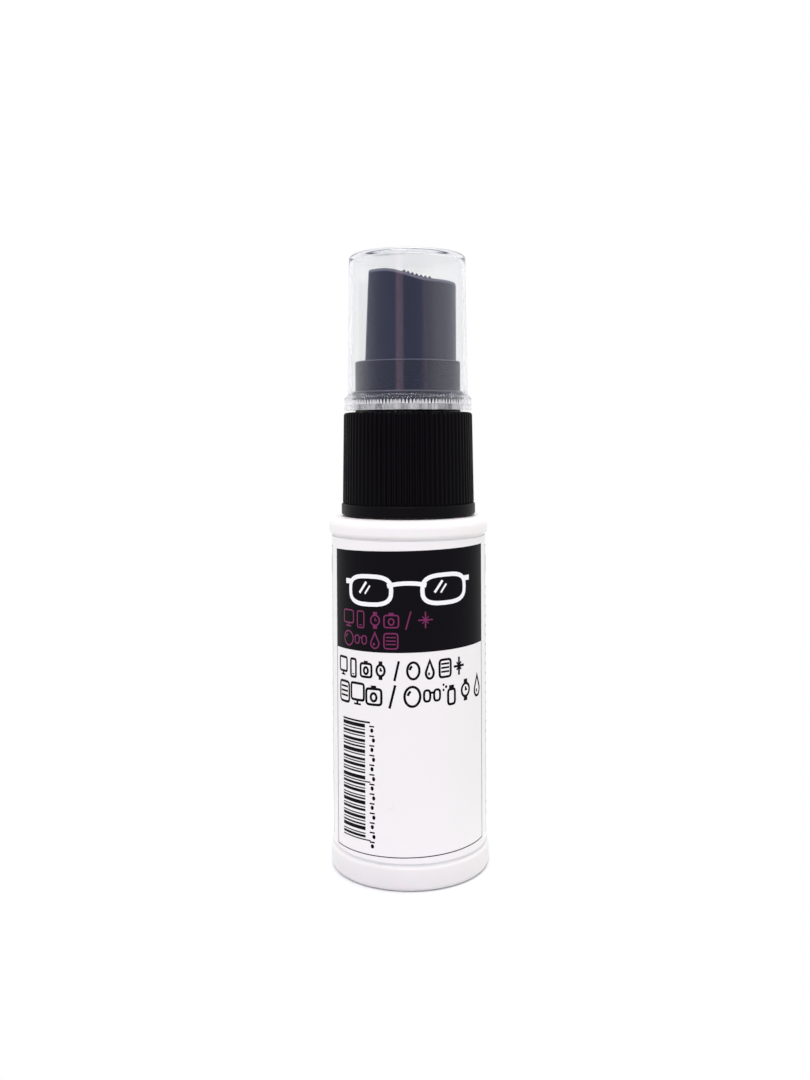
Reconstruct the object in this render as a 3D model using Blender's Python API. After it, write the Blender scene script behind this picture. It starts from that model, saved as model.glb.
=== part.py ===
"""A 30 ml lens cleaning spray: a white bottle with a fine mist pump under a clear overcap.

The origin is at the centre of the bottle's base, +Z is up, the printed face of the label looks
along -Y and the spray leaves the actuator along -X. Lengths are in metres.
"""

import math

import bmesh
import bpy
from mathutils import Matrix

MM = 0.001

# Bottle body
BODY_RADIUS = 14.0 * MM
BODY_HEIGHT = 61.6 * MM
BODY_WALL = 1.4 * MM
FLOOR_THICKNESS = 1.2 * MM
FOOT_RECESS = 0.8 * MM
FOOT_WIDTH = 2.2 * MM
BASE_CORNER = 0.95 * MM
SHOULDER_CORNER = 1.6 * MM
INNER_CORNER = 1.2 * MM
PANEL_DEPTH = 0.6 * MM
PANEL_LOWER_BAND = 4.5 * MM
PANEL_UPPER_BAND = 3.3 * MM

# Neck finish, 20 mm across the thread with one and a half turns
NECK_HEIGHT = 13.9 * MM
NECK_BORE_RADIUS = 6.7 * MM
NECK_ROOT_RADIUS = 9.05 * MM
NECK_RIM_CHAMFER = 0.4 * MM
THREAD_DEPTH = 0.95 * MM
THREAD_PITCH = 3.175 * MM
THREAD_TURNS = 1.5
THREAD_BASE_WIDTH = 1.6 * MM
THREAD_CREST_WIDTH = 0.8 * MM
THREAD_TOP_MARGIN = 1.6 * MM

# Clearances
REST_GAP = 0.3 * MM
SLIDE_GAP = 0.2 * MM
THREAD_GAP = 0.35 * MM

# Label
LABEL_THICKNESS = 0.15 * MM
LABEL_SEAM = 3.0 * MM

# Closure: ribbed skirt, deck and the smooth collar that guides the actuator
GASKET_THICKNESS = 1.2 * MM
FLANGE_THICKNESS = 1.0 * MM
DECK_THICKNESS = 1.2 * MM
SKIRT_WALL = 0.8 * MM
SKIRT_FLARE = 0.25 * MM
BASE_BAND_PROUD = 0.45 * MM
BASE_BAND_HEIGHT = 1.9 * MM
DECK_CHAMFER = 0.45 * MM
RIB_COUNT = 80
RIB_DEPTH = 0.25 * MM
RIB_TIP_SHARE = 0.35
RIB_ROOT_SHARE = 0.8
RIB_TOP_DROP = 0.075 * MM
COLLAR_RADIUS = 9.3 * MM
COLLAR_WALL = 0.5 * MM
COLLAR_HEIGHT = 8.9 * MM
SNAP_BEAD = 0.2 * MM
SNAP_BEAD_RISE = 3.5 * MM

# Actuator and its nozzle insert
STROKE = 4.5 * MM
STROKE_MARGIN = 0.6 * MM
ACTUATOR_HEIGHT = 19.4 * MM
ACTUATOR_WALL = 0.9 * MM
ACTUATOR_ROOF = 1.3 * MM
PAD_FALL = 1.8 * MM
PAD_FALL_START = -4.5 * MM
PAD_FALL_END = 4.0 * MM
PAD_DISH = 0.3 * MM
PAD_EDGE = 0.5 * MM
NOZZLE_FLAT_DEPTH = 1.25 * MM
NOZZLE_FLAT_DRAFT = math.radians(2.6)
NOZZLE_HEIGHT = 12.6 * MM
NOZZLE_RADIUS = 2.2 * MM
NOZZLE_LENGTH = 2.3 * MM
NOZZLE_FACE = 0.7 * MM
NOZZLE_SET_BACK = 0.15 * MM
NOZZLE_WALL = 0.85 * MM
BOSS_WALL = 1.1 * MM
ORIFICE_RADIUS = 0.2 * MM
FEED_RADIUS = 0.4 * MM

# Pump: housing, guide ring, stem, valve rod, piston, spring, ball and dip tube
FLANGE_INSET = 0.05 * MM
GUIDE_RADIUS = 4.1 * MM
GUIDE_WALL = 1.0 * MM
GUIDE_PLUG = 4.0 * MM
GUIDE_RIM_WIDTH = 1.7 * MM
GUIDE_RIM_THICKNESS = 1.0 * MM
TURRET_WALL = 1.3 * MM
TURRET_HEIGHT = 2.6 * MM
BARREL_WALL = 0.8 * MM
CHAMBER_RADIUS = 3.2 * MM
CHAMBER_LENGTH = 17.0 * MM
VENT_RADIUS = 0.5 * MM
STEM_RADIUS = 1.8 * MM
STEM_BORE_RADIUS = 0.75 * MM
STEM_REACH = 9.8 * MM
STEM_SHOULDER_WIDTH = 0.8 * MM
STEM_SHOULDER_HEIGHT = 0.9 * MM
STEM_PORT_RADIUS = 0.35 * MM
POST_WALL = 1.1 * MM
PISTON_HEIGHT = 3.2 * MM
PISTON_LIP = 1.3 * MM
PISTON_WAIST = 0.35 * MM
PISTON_FLOAT = 0.6 * MM
ROD_RADIUS = 0.45 * MM
ROD_HEAD_RADIUS = 2.3 * MM
ROD_HEAD_HEIGHT = 1.4 * MM
ROD_TAIL_RADIUS = 1.2 * MM
ROD_TAIL_LENGTH = 4.0 * MM
SPRING_RADIUS = 2.1 * MM
SPRING_WIRE_RADIUS = 0.25 * MM
SPRING_TURNS = 8
SPRING_END_PITCH = 0.6 * MM
BALL_RADIUS = 1.2 * MM
BALL_LIFT = 0.8 * MM
BALL_SIDE_GAP = 0.35 * MM
CAGE_LIP = 0.6 * MM
CAGE_LIP_RADIUS = 0.95 * MM
INLET_RADIUS = 0.8 * MM
INLET_LENGTH = 0.8 * MM
SEAT_HEIGHT = 1.0 * MM
TUBE_RADIUS = 1.5 * MM
TUBE_BORE_RADIUS = 0.8 * MM
TUBE_SOCKET = 5.9 * MM
TUBE_FLOOR_GAP = 2.2 * MM
TUBE_CUT_RISE = 2.0 * MM

# Overcap
CAP_SIDE_GAP = 0.45 * MM
CAP_TAPER = 0.36 * MM
CAP_FLARE = 0.6 * MM
CAP_WALL = 0.75 * MM
CAP_LID = 0.8 * MM
CAP_HEAD_ROOM = 2.4 * MM
CAP_TOP_CORNER = 0.8 * MM
CAP_FLANGE_HEIGHT = 2.1 * MM
CAP_FLANGE_BORE_GAP = 0.25 * MM

# Facets round each kind of piece
BODY_STEPS = 48
CAP_STEPS = 48
PUMP_STEPS = 28
SMALL_STEPS = 20
THREAD_STEPS = 24
SPRING_STEPS = 14
SPRING_SIDES = 6
PORT_STEPS = 12
BALL_SEGMENTS = 16
BALL_RINGS = 10
ACTUATOR_ARC_STEPS = 40
ACTUATOR_FLAT_STEPS = 6
THREAD_RUN_OUT_STEPS = 3
THREAD_END_SHARE = 0.1

# The pad's rings: how far each is inset and below the pad, as shares of PAD_EDGE, and the inner ones
PAD_EDGE_RINGS = ((0.0, 1.0), (0.3, 0.3), (1.0, 0.0))
PAD_INNER_SHARES = (0.75, 0.5, 0.25)
CORNER_STEPS = 3
SMOOTH_ANGLE = math.radians(35)

# Heights, from the base upwards
floor_top = FOOT_RECESS + FLOOR_THICKNESS
panel_bottom = PANEL_LOWER_BAND
panel_top = BODY_HEIGHT - PANEL_UPPER_BAND
neck_top = BODY_HEIGHT + NECK_HEIGHT
gasket_bottom = neck_top + REST_GAP
gasket_top = gasket_bottom + GASKET_THICKNESS
flange_bottom = gasket_top + REST_GAP
flange_top = flange_bottom + FLANGE_THICKNESS
deck_bottom = flange_top + REST_GAP
deck_top = deck_bottom + DECK_THICKNESS
collar_top = deck_top + COLLAR_HEIGHT
actuator_bottom = deck_top + STROKE + STROKE_MARGIN
actuator_top = actuator_bottom + ACTUATOR_HEIGHT
nozzle_z = actuator_bottom + NOZZLE_HEIGHT
cap_bottom = deck_top + REST_GAP
cap_ceiling = actuator_top + CAP_HEAD_ROOM
cap_top = cap_ceiling + CAP_LID

# Radii that follow from what a piece fits
panel_radius = BODY_RADIUS - PANEL_DEPTH
thread_radius = NECK_ROOT_RADIUS + THREAD_DEPTH
skirt_bore = thread_radius + THREAD_GAP
cap_foot_radius = COLLAR_RADIUS + SNAP_BEAD + CAP_SIDE_GAP + CAP_WALL
cap_top_radius = cap_foot_radius - CAP_TAPER
cap_flange_radius = cap_foot_radius + CAP_FLARE
skirt_top_radius = max(skirt_bore + SKIRT_WALL, cap_foot_radius + DECK_CHAMFER)
skirt_foot_radius = skirt_top_radius + SKIRT_FLARE
actuator_radius = COLLAR_RADIUS - COLLAR_WALL - SLIDE_GAP
flange_radius = NECK_ROOT_RADIUS - FLANGE_INSET
guide_bore = STEM_RADIUS + REST_GAP
stem_shoulder_radius = STEM_RADIUS + STEM_SHOULDER_WIDTH
turret_radius = guide_bore + TURRET_WALL
cup_radius = GUIDE_RADIUS + REST_GAP
cup_outer_radius = cup_radius + GUIDE_WALL
barrel_radius = CHAMBER_RADIUS + BARREL_WALL
guide_rim_radius = GUIDE_RADIUS + GUIDE_RIM_WIDTH
cage_radius = BALL_RADIUS + BALL_SIDE_GAP
socket_radius = TUBE_RADIUS + REST_GAP
post_bore = STEM_RADIUS + REST_GAP
post_radius = post_bore + POST_WALL
recess_radius = NOZZLE_RADIUS + REST_GAP
pin_radius = NOZZLE_RADIUS - NOZZLE_WALL - REST_GAP

# Levels inside the pump, from the guide ring downwards
cup_floor = flange_top - GUIDE_PLUG - REST_GAP
guide_bottom = cup_floor + REST_GAP
guide_rim_bottom = flange_top + REST_GAP
turret_top = guide_rim_bottom + GUIDE_RIM_THICKNESS + TURRET_HEIGHT
shoulder_top = guide_bottom - REST_GAP
shoulder_bottom = shoulder_top - STEM_SHOULDER_HEIGHT
piston_top = shoulder_bottom - REST_GAP - PISTON_FLOAT
piston_bottom = piston_top - PISTON_HEIGHT
lip_top = piston_bottom + PISTON_LIP
stem_bottom = lip_top + PISTON_FLOAT + REST_GAP
head_top = piston_bottom - REST_GAP
head_bottom = head_top - ROD_HEAD_HEIGHT
spring_top = head_bottom - REST_GAP
chamber_floor = cup_floor - CHAMBER_LENGTH
spring_bottom = chamber_floor + REST_GAP
stem_top = actuator_bottom + STEM_REACH

# The ball rests a gap above its cone, whose side runs from the inlet bore out to the cage
cone_run = cage_radius - INLET_RADIUS
cone_slope = math.hypot(cone_run, SEAT_HEIGHT) / SEAT_HEIGHT
ball_over_cone = ((BALL_RADIUS + REST_GAP) * cone_slope - INLET_RADIUS) * SEAT_HEIGHT / cone_run
cage_top = chamber_floor - CAGE_LIP
ball_z = cage_top - REST_GAP - BALL_LIFT - BALL_RADIUS
seat_bottom = ball_z - ball_over_cone
seat_top = seat_bottom + SEAT_HEIGHT
socket_top = seat_bottom - INLET_LENGTH
tube_top = socket_top - REST_GAP
tube_bottom = floor_top + TUBE_FLOOR_GAP
spigot_bottom = socket_top - TUBE_SOCKET


def clear_scene():
    """Takes out what the startup file holds."""
    for obj in list(bpy.data.objects):
        bpy.data.objects.remove(obj, do_unlink=True)


def plastic(name, colour, roughness, metallic=0.0, transmission=0.0):
    """A plain Principled material."""
    material = bpy.data.materials.new(name)
    material.use_nodes = True
    shader = material.node_tree.nodes["Principled BSDF"]
    shader.inputs["Base Color"].default_value = (*colour, 1.0)
    shader.inputs["Roughness"].default_value = roughness
    shader.inputs["Metallic"].default_value = metallic
    shader.inputs["Transmission Weight"].default_value = transmission
    return material


def add_object(name, bm, material=None, helper=False):
    """Links the mesh of bm as an object; a helper only shapes another object."""
    mesh = bpy.data.meshes.new(name)
    bm.to_mesh(mesh)
    bm.free()
    mesh.shade_smooth()
    mesh.set_sharp_from_angle(angle=SMOOTH_ANGLE)
    obj = bpy.data.objects.new(name, mesh)
    bpy.context.scene.collection.objects.link(obj)
    if material:
        mesh.materials.append(material)
    if helper:
        obj.hide_render = True
        obj.display_type = "WIRE"
    return obj


def corner(centre_r, centre_z, radius, start, end, steps=CORNER_STEPS):
    """Points of an arc in the profile plane, from the angle start to the angle end in degrees."""
    angles = [math.radians(start + (end - start) * i / steps) for i in range(steps + 1)]
    return [(centre_r + radius * math.cos(a), centre_z + radius * math.sin(a)) for a in angles]


def turned(profile, steps, closed=True):
    """A bmesh turned about Z from points (r, z); an open profile starts and ends on the axis."""
    bm = bmesh.new()
    points = [bm.verts.new((r, 0.0, z)) for r, z in profile]
    pairs = list(zip(points, points[1:]))
    if closed:
        pairs.append((points[-1], points[0]))
    edges = [bm.edges.new(pair) for pair in pairs]
    bmesh.ops.spin(
        bm,
        geom=points + edges,
        axis=(0.0, 0.0, 1.0),
        cent=(0.0, 0.0, 0.0),
        steps=steps,
        angle=math.tau,
    )
    bmesh.ops.remove_doubles(bm, verts=bm.verts, dist=1e-6)
    bmesh.ops.recalc_face_normals(bm, faces=bm.faces)
    return bm


def rod(radius, bottom, top, steps=SMALL_STEPS):
    """A solid cylinder about Z."""
    return turned([(0.0, top), (radius, top), (radius, bottom), (0.0, bottom)], steps, closed=False)


def along_x(bm, z=0.0):
    """Lays a shape that was turned about Z along X, its +Z end towards +X, at height z."""
    bm.transform(Matrix.Translation((0.0, 0.0, z)) @ Matrix.Rotation(math.pi / 2, 4, "Y"))
    return bm


def combine(obj, other, operation):
    """Adds a live Boolean of obj with other."""
    modifier = obj.modifiers.new(other.name, "BOOLEAN")
    modifier.operation = operation
    modifier.object = other


def cut(obj, name, bm):
    combine(obj, add_object(name, bm, helper=True), "DIFFERENCE")


def join(obj, name, bm):
    combine(obj, add_object(name, bm, helper=True), "UNION")


def loft(rings):
    """A closed bmesh through rings of equal length, each a list of points in turn."""
    bm = bmesh.new()
    rows = [[bm.verts.new(point) for point in ring] for ring in rings]
    count = len(rows[0])
    for low, high in zip(rows, rows[1:]):
        for i in range(count):
            j = (i + 1) % count
            bm.faces.new((low[i], low[j], high[j], high[i]))
    bm.faces.new(rows[0][::-1])
    bm.faces.new(rows[-1])
    bmesh.ops.recalc_face_normals(bm, faces=bm.faces)
    return bm


def thread_ridge(root, crest, start_z, base_width, crest_width):
    """A right-hand helical ridge from radius root to radius crest, run out to nothing at its ends."""
    steps = round(THREAD_TURNS * THREAD_STEPS)
    rings = []
    for i in range(steps + 1):
        turn = i / THREAD_STEPS
        run_out = min(1.0, THREAD_END_SHARE + min(i, steps - i) / THREAD_RUN_OUT_STEPS)
        tip = root + (crest - root) * run_out
        z = start_z + THREAD_PITCH * turn
        angle = math.tau * turn
        outline = [
            (root, z - base_width / 2),
            (tip, z - crest_width / 2),
            (tip, z + crest_width / 2),
            (root, z + base_width / 2),
        ]
        rings.append([(r * math.cos(angle), r * math.sin(angle), level) for r, level in outline])
    return loft(rings)


def make_bottle(material):
    """A blown bottle: foot ring, recessed label panel, square shoulder and a threaded neck."""
    inner_radius = BODY_RADIUS - BODY_WALL
    inner_top = BODY_HEIGHT - BODY_WALL
    foot_inner = BODY_RADIUS - BASE_CORNER - FOOT_WIDTH
    step = PANEL_DEPTH / 2
    outer = [
        (NECK_BORE_RADIUS, neck_top),
        (NECK_ROOT_RADIUS - NECK_RIM_CHAMFER, neck_top),
        (NECK_ROOT_RADIUS, neck_top - NECK_RIM_CHAMFER),
        (NECK_ROOT_RADIUS, BODY_HEIGHT),
    ]
    outer += corner(
        BODY_RADIUS - SHOULDER_CORNER, BODY_HEIGHT - SHOULDER_CORNER, SHOULDER_CORNER, 90, 0
    )
    outer += [
        (BODY_RADIUS, panel_top + step),
        (panel_radius, panel_top),
        (panel_radius, panel_bottom),
        (BODY_RADIUS, panel_bottom - step),
    ]
    outer += corner(BODY_RADIUS - BASE_CORNER, BASE_CORNER, BASE_CORNER, 0, -90)
    outer += [
        (foot_inner, 0.0),
        (foot_inner - FOOT_RECESS, FOOT_RECESS),
        (0.0, FOOT_RECESS),
    ]
    inner = [(0.0, floor_top)]
    inner += corner(inner_radius - INNER_CORNER, floor_top + INNER_CORNER, INNER_CORNER, -90, 0)
    inner += corner(inner_radius - INNER_CORNER, inner_top - INNER_CORNER, INNER_CORNER, 0, 90)
    inner += [(NECK_BORE_RADIUS, inner_top)]
    bottle = add_object("bottle", turned(inner + outer, BODY_STEPS, closed=False), material)
    thread_start = neck_top - THREAD_TOP_MARGIN - THREAD_TURNS * THREAD_PITCH
    root = NECK_ROOT_RADIUS - REST_GAP
    ridge = thread_ridge(
        root, thread_radius, thread_start, THREAD_BASE_WIDTH, THREAD_CREST_WIDTH
    )
    join(bottle, "neck_thread", ridge)
    return bottle


def make_label(material):
    """A thin sleeve in the recessed panel, open by a narrow seam at the back."""
    outer = panel_radius + REST_GAP + LABEL_THICKNESS
    inner = panel_radius + REST_GAP
    low = panel_bottom + REST_GAP
    high = panel_top - REST_GAP
    half_seam = LABEL_SEAM / 2 / outer
    rings = []
    for i in range(BODY_STEPS + 1):
        angle = math.pi / 2 + half_seam + (math.tau - 2 * half_seam) * i / BODY_STEPS
        c, s = math.cos(angle), math.sin(angle)
        section = [(inner, low), (outer, low), (outer, high), (inner, high)]
        rings.append([(r * c, r * s, z) for r, z in section])
    return add_object("label", loft(rings), material)


def make_closure(material):
    """The black screw closure: threaded skirt with grip ribs, deck and guide collar."""
    chamfer_r = skirt_top_radius - DECK_CHAMFER
    collar_inner = COLLAR_RADIUS - COLLAR_WALL
    hole = guide_rim_radius + REST_GAP
    foot = BODY_HEIGHT + REST_GAP
    band_top = foot + BASE_BAND_HEIGHT
    band_radius = skirt_foot_radius + BASE_BAND_PROUD
    bead_z = deck_top + SNAP_BEAD_RISE
    profile = [
        (collar_inner, collar_top),
        (COLLAR_RADIUS, collar_top),
        (COLLAR_RADIUS, bead_z + SNAP_BEAD),
        (COLLAR_RADIUS + SNAP_BEAD, bead_z),
        (COLLAR_RADIUS, bead_z - SNAP_BEAD),
        (COLLAR_RADIUS, deck_top),
        (chamfer_r, deck_top),
        (skirt_top_radius, deck_top - DECK_CHAMFER),
        (skirt_foot_radius, band_top),
        (band_radius, band_top),
        (band_radius, foot),
        (skirt_bore, foot),
        (skirt_bore, deck_bottom),
        (hole, deck_bottom),
        (hole, deck_top),
        (collar_inner, deck_top),
    ]
    closure = add_object("screw_closure", turned(profile, BODY_STEPS), material)
    join(closure, "grip_ribs", grip_ribs(band_top))
    half_widths = (THREAD_BASE_WIDTH + THREAD_CREST_WIDTH) / 2
    thread_start = neck_top - THREAD_TOP_MARGIN - THREAD_TURNS * THREAD_PITCH
    ridge = thread_ridge(
        skirt_bore + REST_GAP,
        NECK_ROOT_RADIUS + REST_GAP,
        thread_start - half_widths - REST_GAP / 2,
        THREAD_BASE_WIDTH,
        THREAD_CREST_WIDTH,
    )
    join(closure, "closure_thread", ridge)
    return closure


def grip_ribs(band_top):
    """Upright ribs with sloping flanks, which run from inside the base band to the deck."""
    pitch = math.tau / RIB_COUNT
    low = band_top - REST_GAP
    high = deck_top - RIB_TOP_DROP
    sink = 2 * RIB_DEPTH
    bm = bmesh.new()
    for i in range(RIB_COUNT):
        middle = pitch * (i + 0.5)
        rows = []
        for level, wall in ((low, skirt_foot_radius), (high, skirt_top_radius)):
            crest = wall + RIB_DEPTH
            root = wall - sink - DECK_CHAMFER / 2
            row = []
            for radius, side in (
                (root, -RIB_ROOT_SHARE),
                (crest, -RIB_TIP_SHARE),
                (crest, RIB_TIP_SHARE),
                (root, RIB_ROOT_SHARE),
            ):
                angle = middle + side * pitch / 2
                row.append(
                    bm.verts.new((radius * math.cos(angle), radius * math.sin(angle), level))
                )
            rows.append(row)
        lower, upper = rows
        for j in range(4):
            k = (j + 1) % 4
            bm.faces.new((lower[j], lower[k], upper[k], upper[j]))
        bm.faces.new(lower[::-1])
        bm.faces.new(upper)
    bmesh.ops.recalc_face_normals(bm, faces=bm.faces)
    return bm


def make_gasket(material):
    """The flat sealing ring between the neck's rim and the pump's flange."""
    profile = [
        (cup_outer_radius + REST_GAP, gasket_top),
        (flange_radius, gasket_top),
        (flange_radius, gasket_bottom),
        (cup_outer_radius + REST_GAP, gasket_bottom),
    ]
    return add_object("neck_gasket", turned(profile, PUMP_STEPS), material)


def make_housing(material):
    """The pump body: flange, cup for the guide ring, chamber, ball cage, seat and tube socket."""
    cup_outer_bottom = cup_floor - BARREL_WALL
    spigot_radius = socket_radius + BARREL_WALL
    barrel_bottom = chamber_floor - CAGE_LIP
    profile = [
        (cup_radius, flange_top),
        (flange_radius, flange_top),
        (flange_radius, flange_bottom),
        (cup_outer_radius, flange_bottom),
        (cup_outer_radius, cup_outer_bottom),
        (barrel_radius, cup_outer_bottom - BARREL_WALL),
        (barrel_radius, barrel_bottom),
        (spigot_radius, seat_bottom),
        (spigot_radius, spigot_bottom),
        (socket_radius, spigot_bottom),
        (socket_radius, socket_top),
        (INLET_RADIUS, socket_top),
        (INLET_RADIUS, seat_bottom),
        (cage_radius, seat_top),
        (cage_radius, cage_top),
        (CAGE_LIP_RADIUS, cage_top),
        (CAGE_LIP_RADIUS, chamber_floor),
        (CHAMBER_RADIUS, chamber_floor),
        (CHAMBER_RADIUS, cup_floor),
        (cup_radius, cup_floor),
    ]
    housing = add_object("pump_housing", turned(profile, PUMP_STEPS), material)
    vent = along_x(rod(VENT_RADIUS, CHAMBER_RADIUS - BARREL_WALL, barrel_radius + BARREL_WALL))
    vent.transform(Matrix.Translation((0.0, 0.0, piston_bottom + PISTON_HEIGHT / 2)))
    cut(housing, "vent_hole", vent)
    return housing


def make_guide(material):
    """The ring that snaps into the housing, stops the stem's shoulder and guides the stem."""
    profile = [
        (guide_bore, turret_top),
        (turret_radius, turret_top),
        (turret_radius, guide_rim_bottom + GUIDE_RIM_THICKNESS),
        (guide_rim_radius, guide_rim_bottom + GUIDE_RIM_THICKNESS),
        (guide_rim_radius, guide_rim_bottom),
        (GUIDE_RADIUS, guide_rim_bottom),
        (GUIDE_RADIUS, guide_bottom),
        (guide_bore, guide_bottom),
    ]
    return add_object("stem_guide", turned(profile, PUMP_STEPS), material)


def make_stem(material):
    """The hollow stem: its shoulder stops under the guide, and its port lets liquid in."""
    profile = [
        (STEM_BORE_RADIUS, stem_top),
        (STEM_RADIUS, stem_top),
        (STEM_RADIUS, shoulder_top),
        (stem_shoulder_radius, shoulder_top),
        (stem_shoulder_radius, shoulder_bottom),
        (STEM_RADIUS, shoulder_bottom),
        (STEM_RADIUS, stem_bottom),
        (STEM_BORE_RADIUS, stem_bottom),
    ]
    stem = add_object("stem", turned(profile, SMALL_STEPS), material)
    port_z = (stem_bottom + shoulder_bottom) / 2
    port = along_x(rod(STEM_PORT_RADIUS, -2 * STEM_RADIUS, 2 * STEM_RADIUS, PORT_STEPS), port_z)
    cut(stem, "stem_port", port)
    return stem


def make_valve_rod(material):
    """The plug under the stem: a spigot in its bore, the piston's seat and the spring's guide."""
    seat_edge = head_bottom + ROD_HEAD_HEIGHT / 2
    profile = [
        (0.0, shoulder_bottom),
        (ROD_RADIUS, shoulder_bottom),
        (ROD_RADIUS, head_top),
        (ROD_HEAD_RADIUS, seat_edge),
        (ROD_HEAD_RADIUS, head_bottom),
        (ROD_TAIL_RADIUS, head_bottom),
        (ROD_TAIL_RADIUS, head_bottom - ROD_TAIL_LENGTH),
        (0.0, head_bottom - ROD_TAIL_LENGTH),
    ]
    return add_object("valve_rod", turned(profile, SMALL_STEPS, closed=False), material)


def make_piston(material):
    """A waisted sleeve that slides in the chamber and a little way along the stem."""
    outer = CHAMBER_RADIUS - REST_GAP
    waist = outer - PISTON_WAIST
    quarter = PISTON_HEIGHT / 4
    lip = ROD_RADIUS + 2 * REST_GAP
    profile = [
        (guide_bore, piston_top),
        (outer, piston_top),
        (outer, piston_top - quarter),
        (waist, piston_top - 1.5 * quarter),
        (waist, piston_bottom + 1.5 * quarter),
        (outer, piston_bottom + quarter),
        (outer, piston_bottom),
        (lip, piston_bottom),
        (lip, lip_top),
        (guide_bore, lip_top),
    ]
    return add_object("piston", turned(profile, SMALL_STEPS), material)


def make_spring(material):
    """A compression spring whose first and last turns close up, as a wire on a helix."""
    steps = SPRING_TURNS * SPRING_STEPS
    low = spring_bottom + SPRING_WIRE_RADIUS
    high = spring_top - SPRING_WIRE_RADIUS
    open_pitch = (high - low - 2 * SPRING_END_PITCH) / (SPRING_TURNS - 2)
    centres = []
    for i in range(steps + 1):
        turn = i / SPRING_STEPS
        ends = min(turn, 1.0) + max(turn - (SPRING_TURNS - 1), 0.0)
        z = low + SPRING_END_PITCH * ends + open_pitch * (turn - ends)
        angle = math.tau * turn
        centres.append((angle, z))
    rings = []
    for angle, z in centres:
        ring = []
        for side in range(SPRING_SIDES):
            around = math.tau * side / SPRING_SIDES
            radius = SPRING_RADIUS + SPRING_WIRE_RADIUS * math.cos(around)
            level = z + SPRING_WIRE_RADIUS * math.sin(around)
            ring.append((radius * math.cos(angle), radius * math.sin(angle), level))
        rings.append(ring)
    return add_object("return_spring", loft(rings), material)


def make_ball(material):
    """The inlet valve's ball."""
    bm = bmesh.new()
    bmesh.ops.create_uvsphere(bm, u_segments=BALL_SEGMENTS, v_segments=BALL_RINGS, radius=BALL_RADIUS)
    ball = add_object("inlet_ball", bm, material)
    ball.location = (0.0, 0.0, ball_z)
    return ball


def make_dip_tube(material):
    """The suction tube, cut at a slant so that the bottle's floor can't close it."""
    profile = [
        (TUBE_BORE_RADIUS, tube_top),
        (TUBE_RADIUS, tube_top),
        (TUBE_RADIUS, tube_bottom),
        (TUBE_BORE_RADIUS, tube_bottom),
    ]
    bm = turned(profile, SMALL_STEPS)
    slope = TUBE_CUT_RISE / (2 * TUBE_RADIUS)
    for vert in bm.verts:
        if vert.co.z < (tube_bottom + tube_top) / 2:
            vert.co.z += (vert.co.x + TUBE_RADIUS) * slope
    return add_object("dip_tube", bm, material)


def flat_x(z):
    """Where the nozzle's flat face stands at height z; it leans in towards the top."""
    lean = math.tan(NOZZLE_FLAT_DRAFT) * (z - collar_top)
    return NOZZLE_FLAT_DEPTH - actuator_radius + lean


def pad_z(x, y):
    """The finger pad: high at the nozzle, an S-shaped fall to the back and a slight dish."""
    run = max(0.0, min(1.0, (x - PAD_FALL_START) / (PAD_FALL_END - PAD_FALL_START)))
    fall = run * run * (3 - 2 * run)
    dish = PAD_DISH * max(0.0, 1 - (x * x + y * y) / actuator_radius**2)
    return actuator_top - PAD_FALL * fall - dish


def d_ring(radius, face_x, level):
    """A round outline with one flat at face_x; level is a height or a function of x and y."""
    corner_angle = math.acos(face_x / radius)
    points = []
    for i in range(ACTUATOR_ARC_STEPS + 1):
        angle = -corner_angle + 2 * corner_angle * i / ACTUATOR_ARC_STEPS
        points.append((radius * math.cos(angle), radius * math.sin(angle)))
    half = radius * math.sin(corner_angle)
    for i in range(1, ACTUATOR_FLAT_STEPS):
        points.append((face_x, half - 2 * half * i / ACTUATOR_FLAT_STEPS))
    return [(x, y, level(x, y) if callable(level) else level) for x, y in points]


def actuator_body():
    """The outside of the actuator, from its open foot to the rounded edge and the finger pad."""
    rings = [d_ring(actuator_radius, flat_x(actuator_bottom), actuator_bottom)]
    for inset, drop in PAD_EDGE_RINGS:
        radius = actuator_radius - inset * PAD_EDGE
        face = flat_x(actuator_top) + inset * PAD_EDGE

        def edge(x, y, below=drop * PAD_EDGE):
            return pad_z(x, y) - below

        rings.append(d_ring(radius, face, edge))
    for share in PAD_INNER_SHARES:
        radius = (actuator_radius - PAD_EDGE) * share
        rings.append(d_ring(radius, (flat_x(actuator_top) + PAD_EDGE) * share, pad_z))
    return loft(rings)


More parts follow.
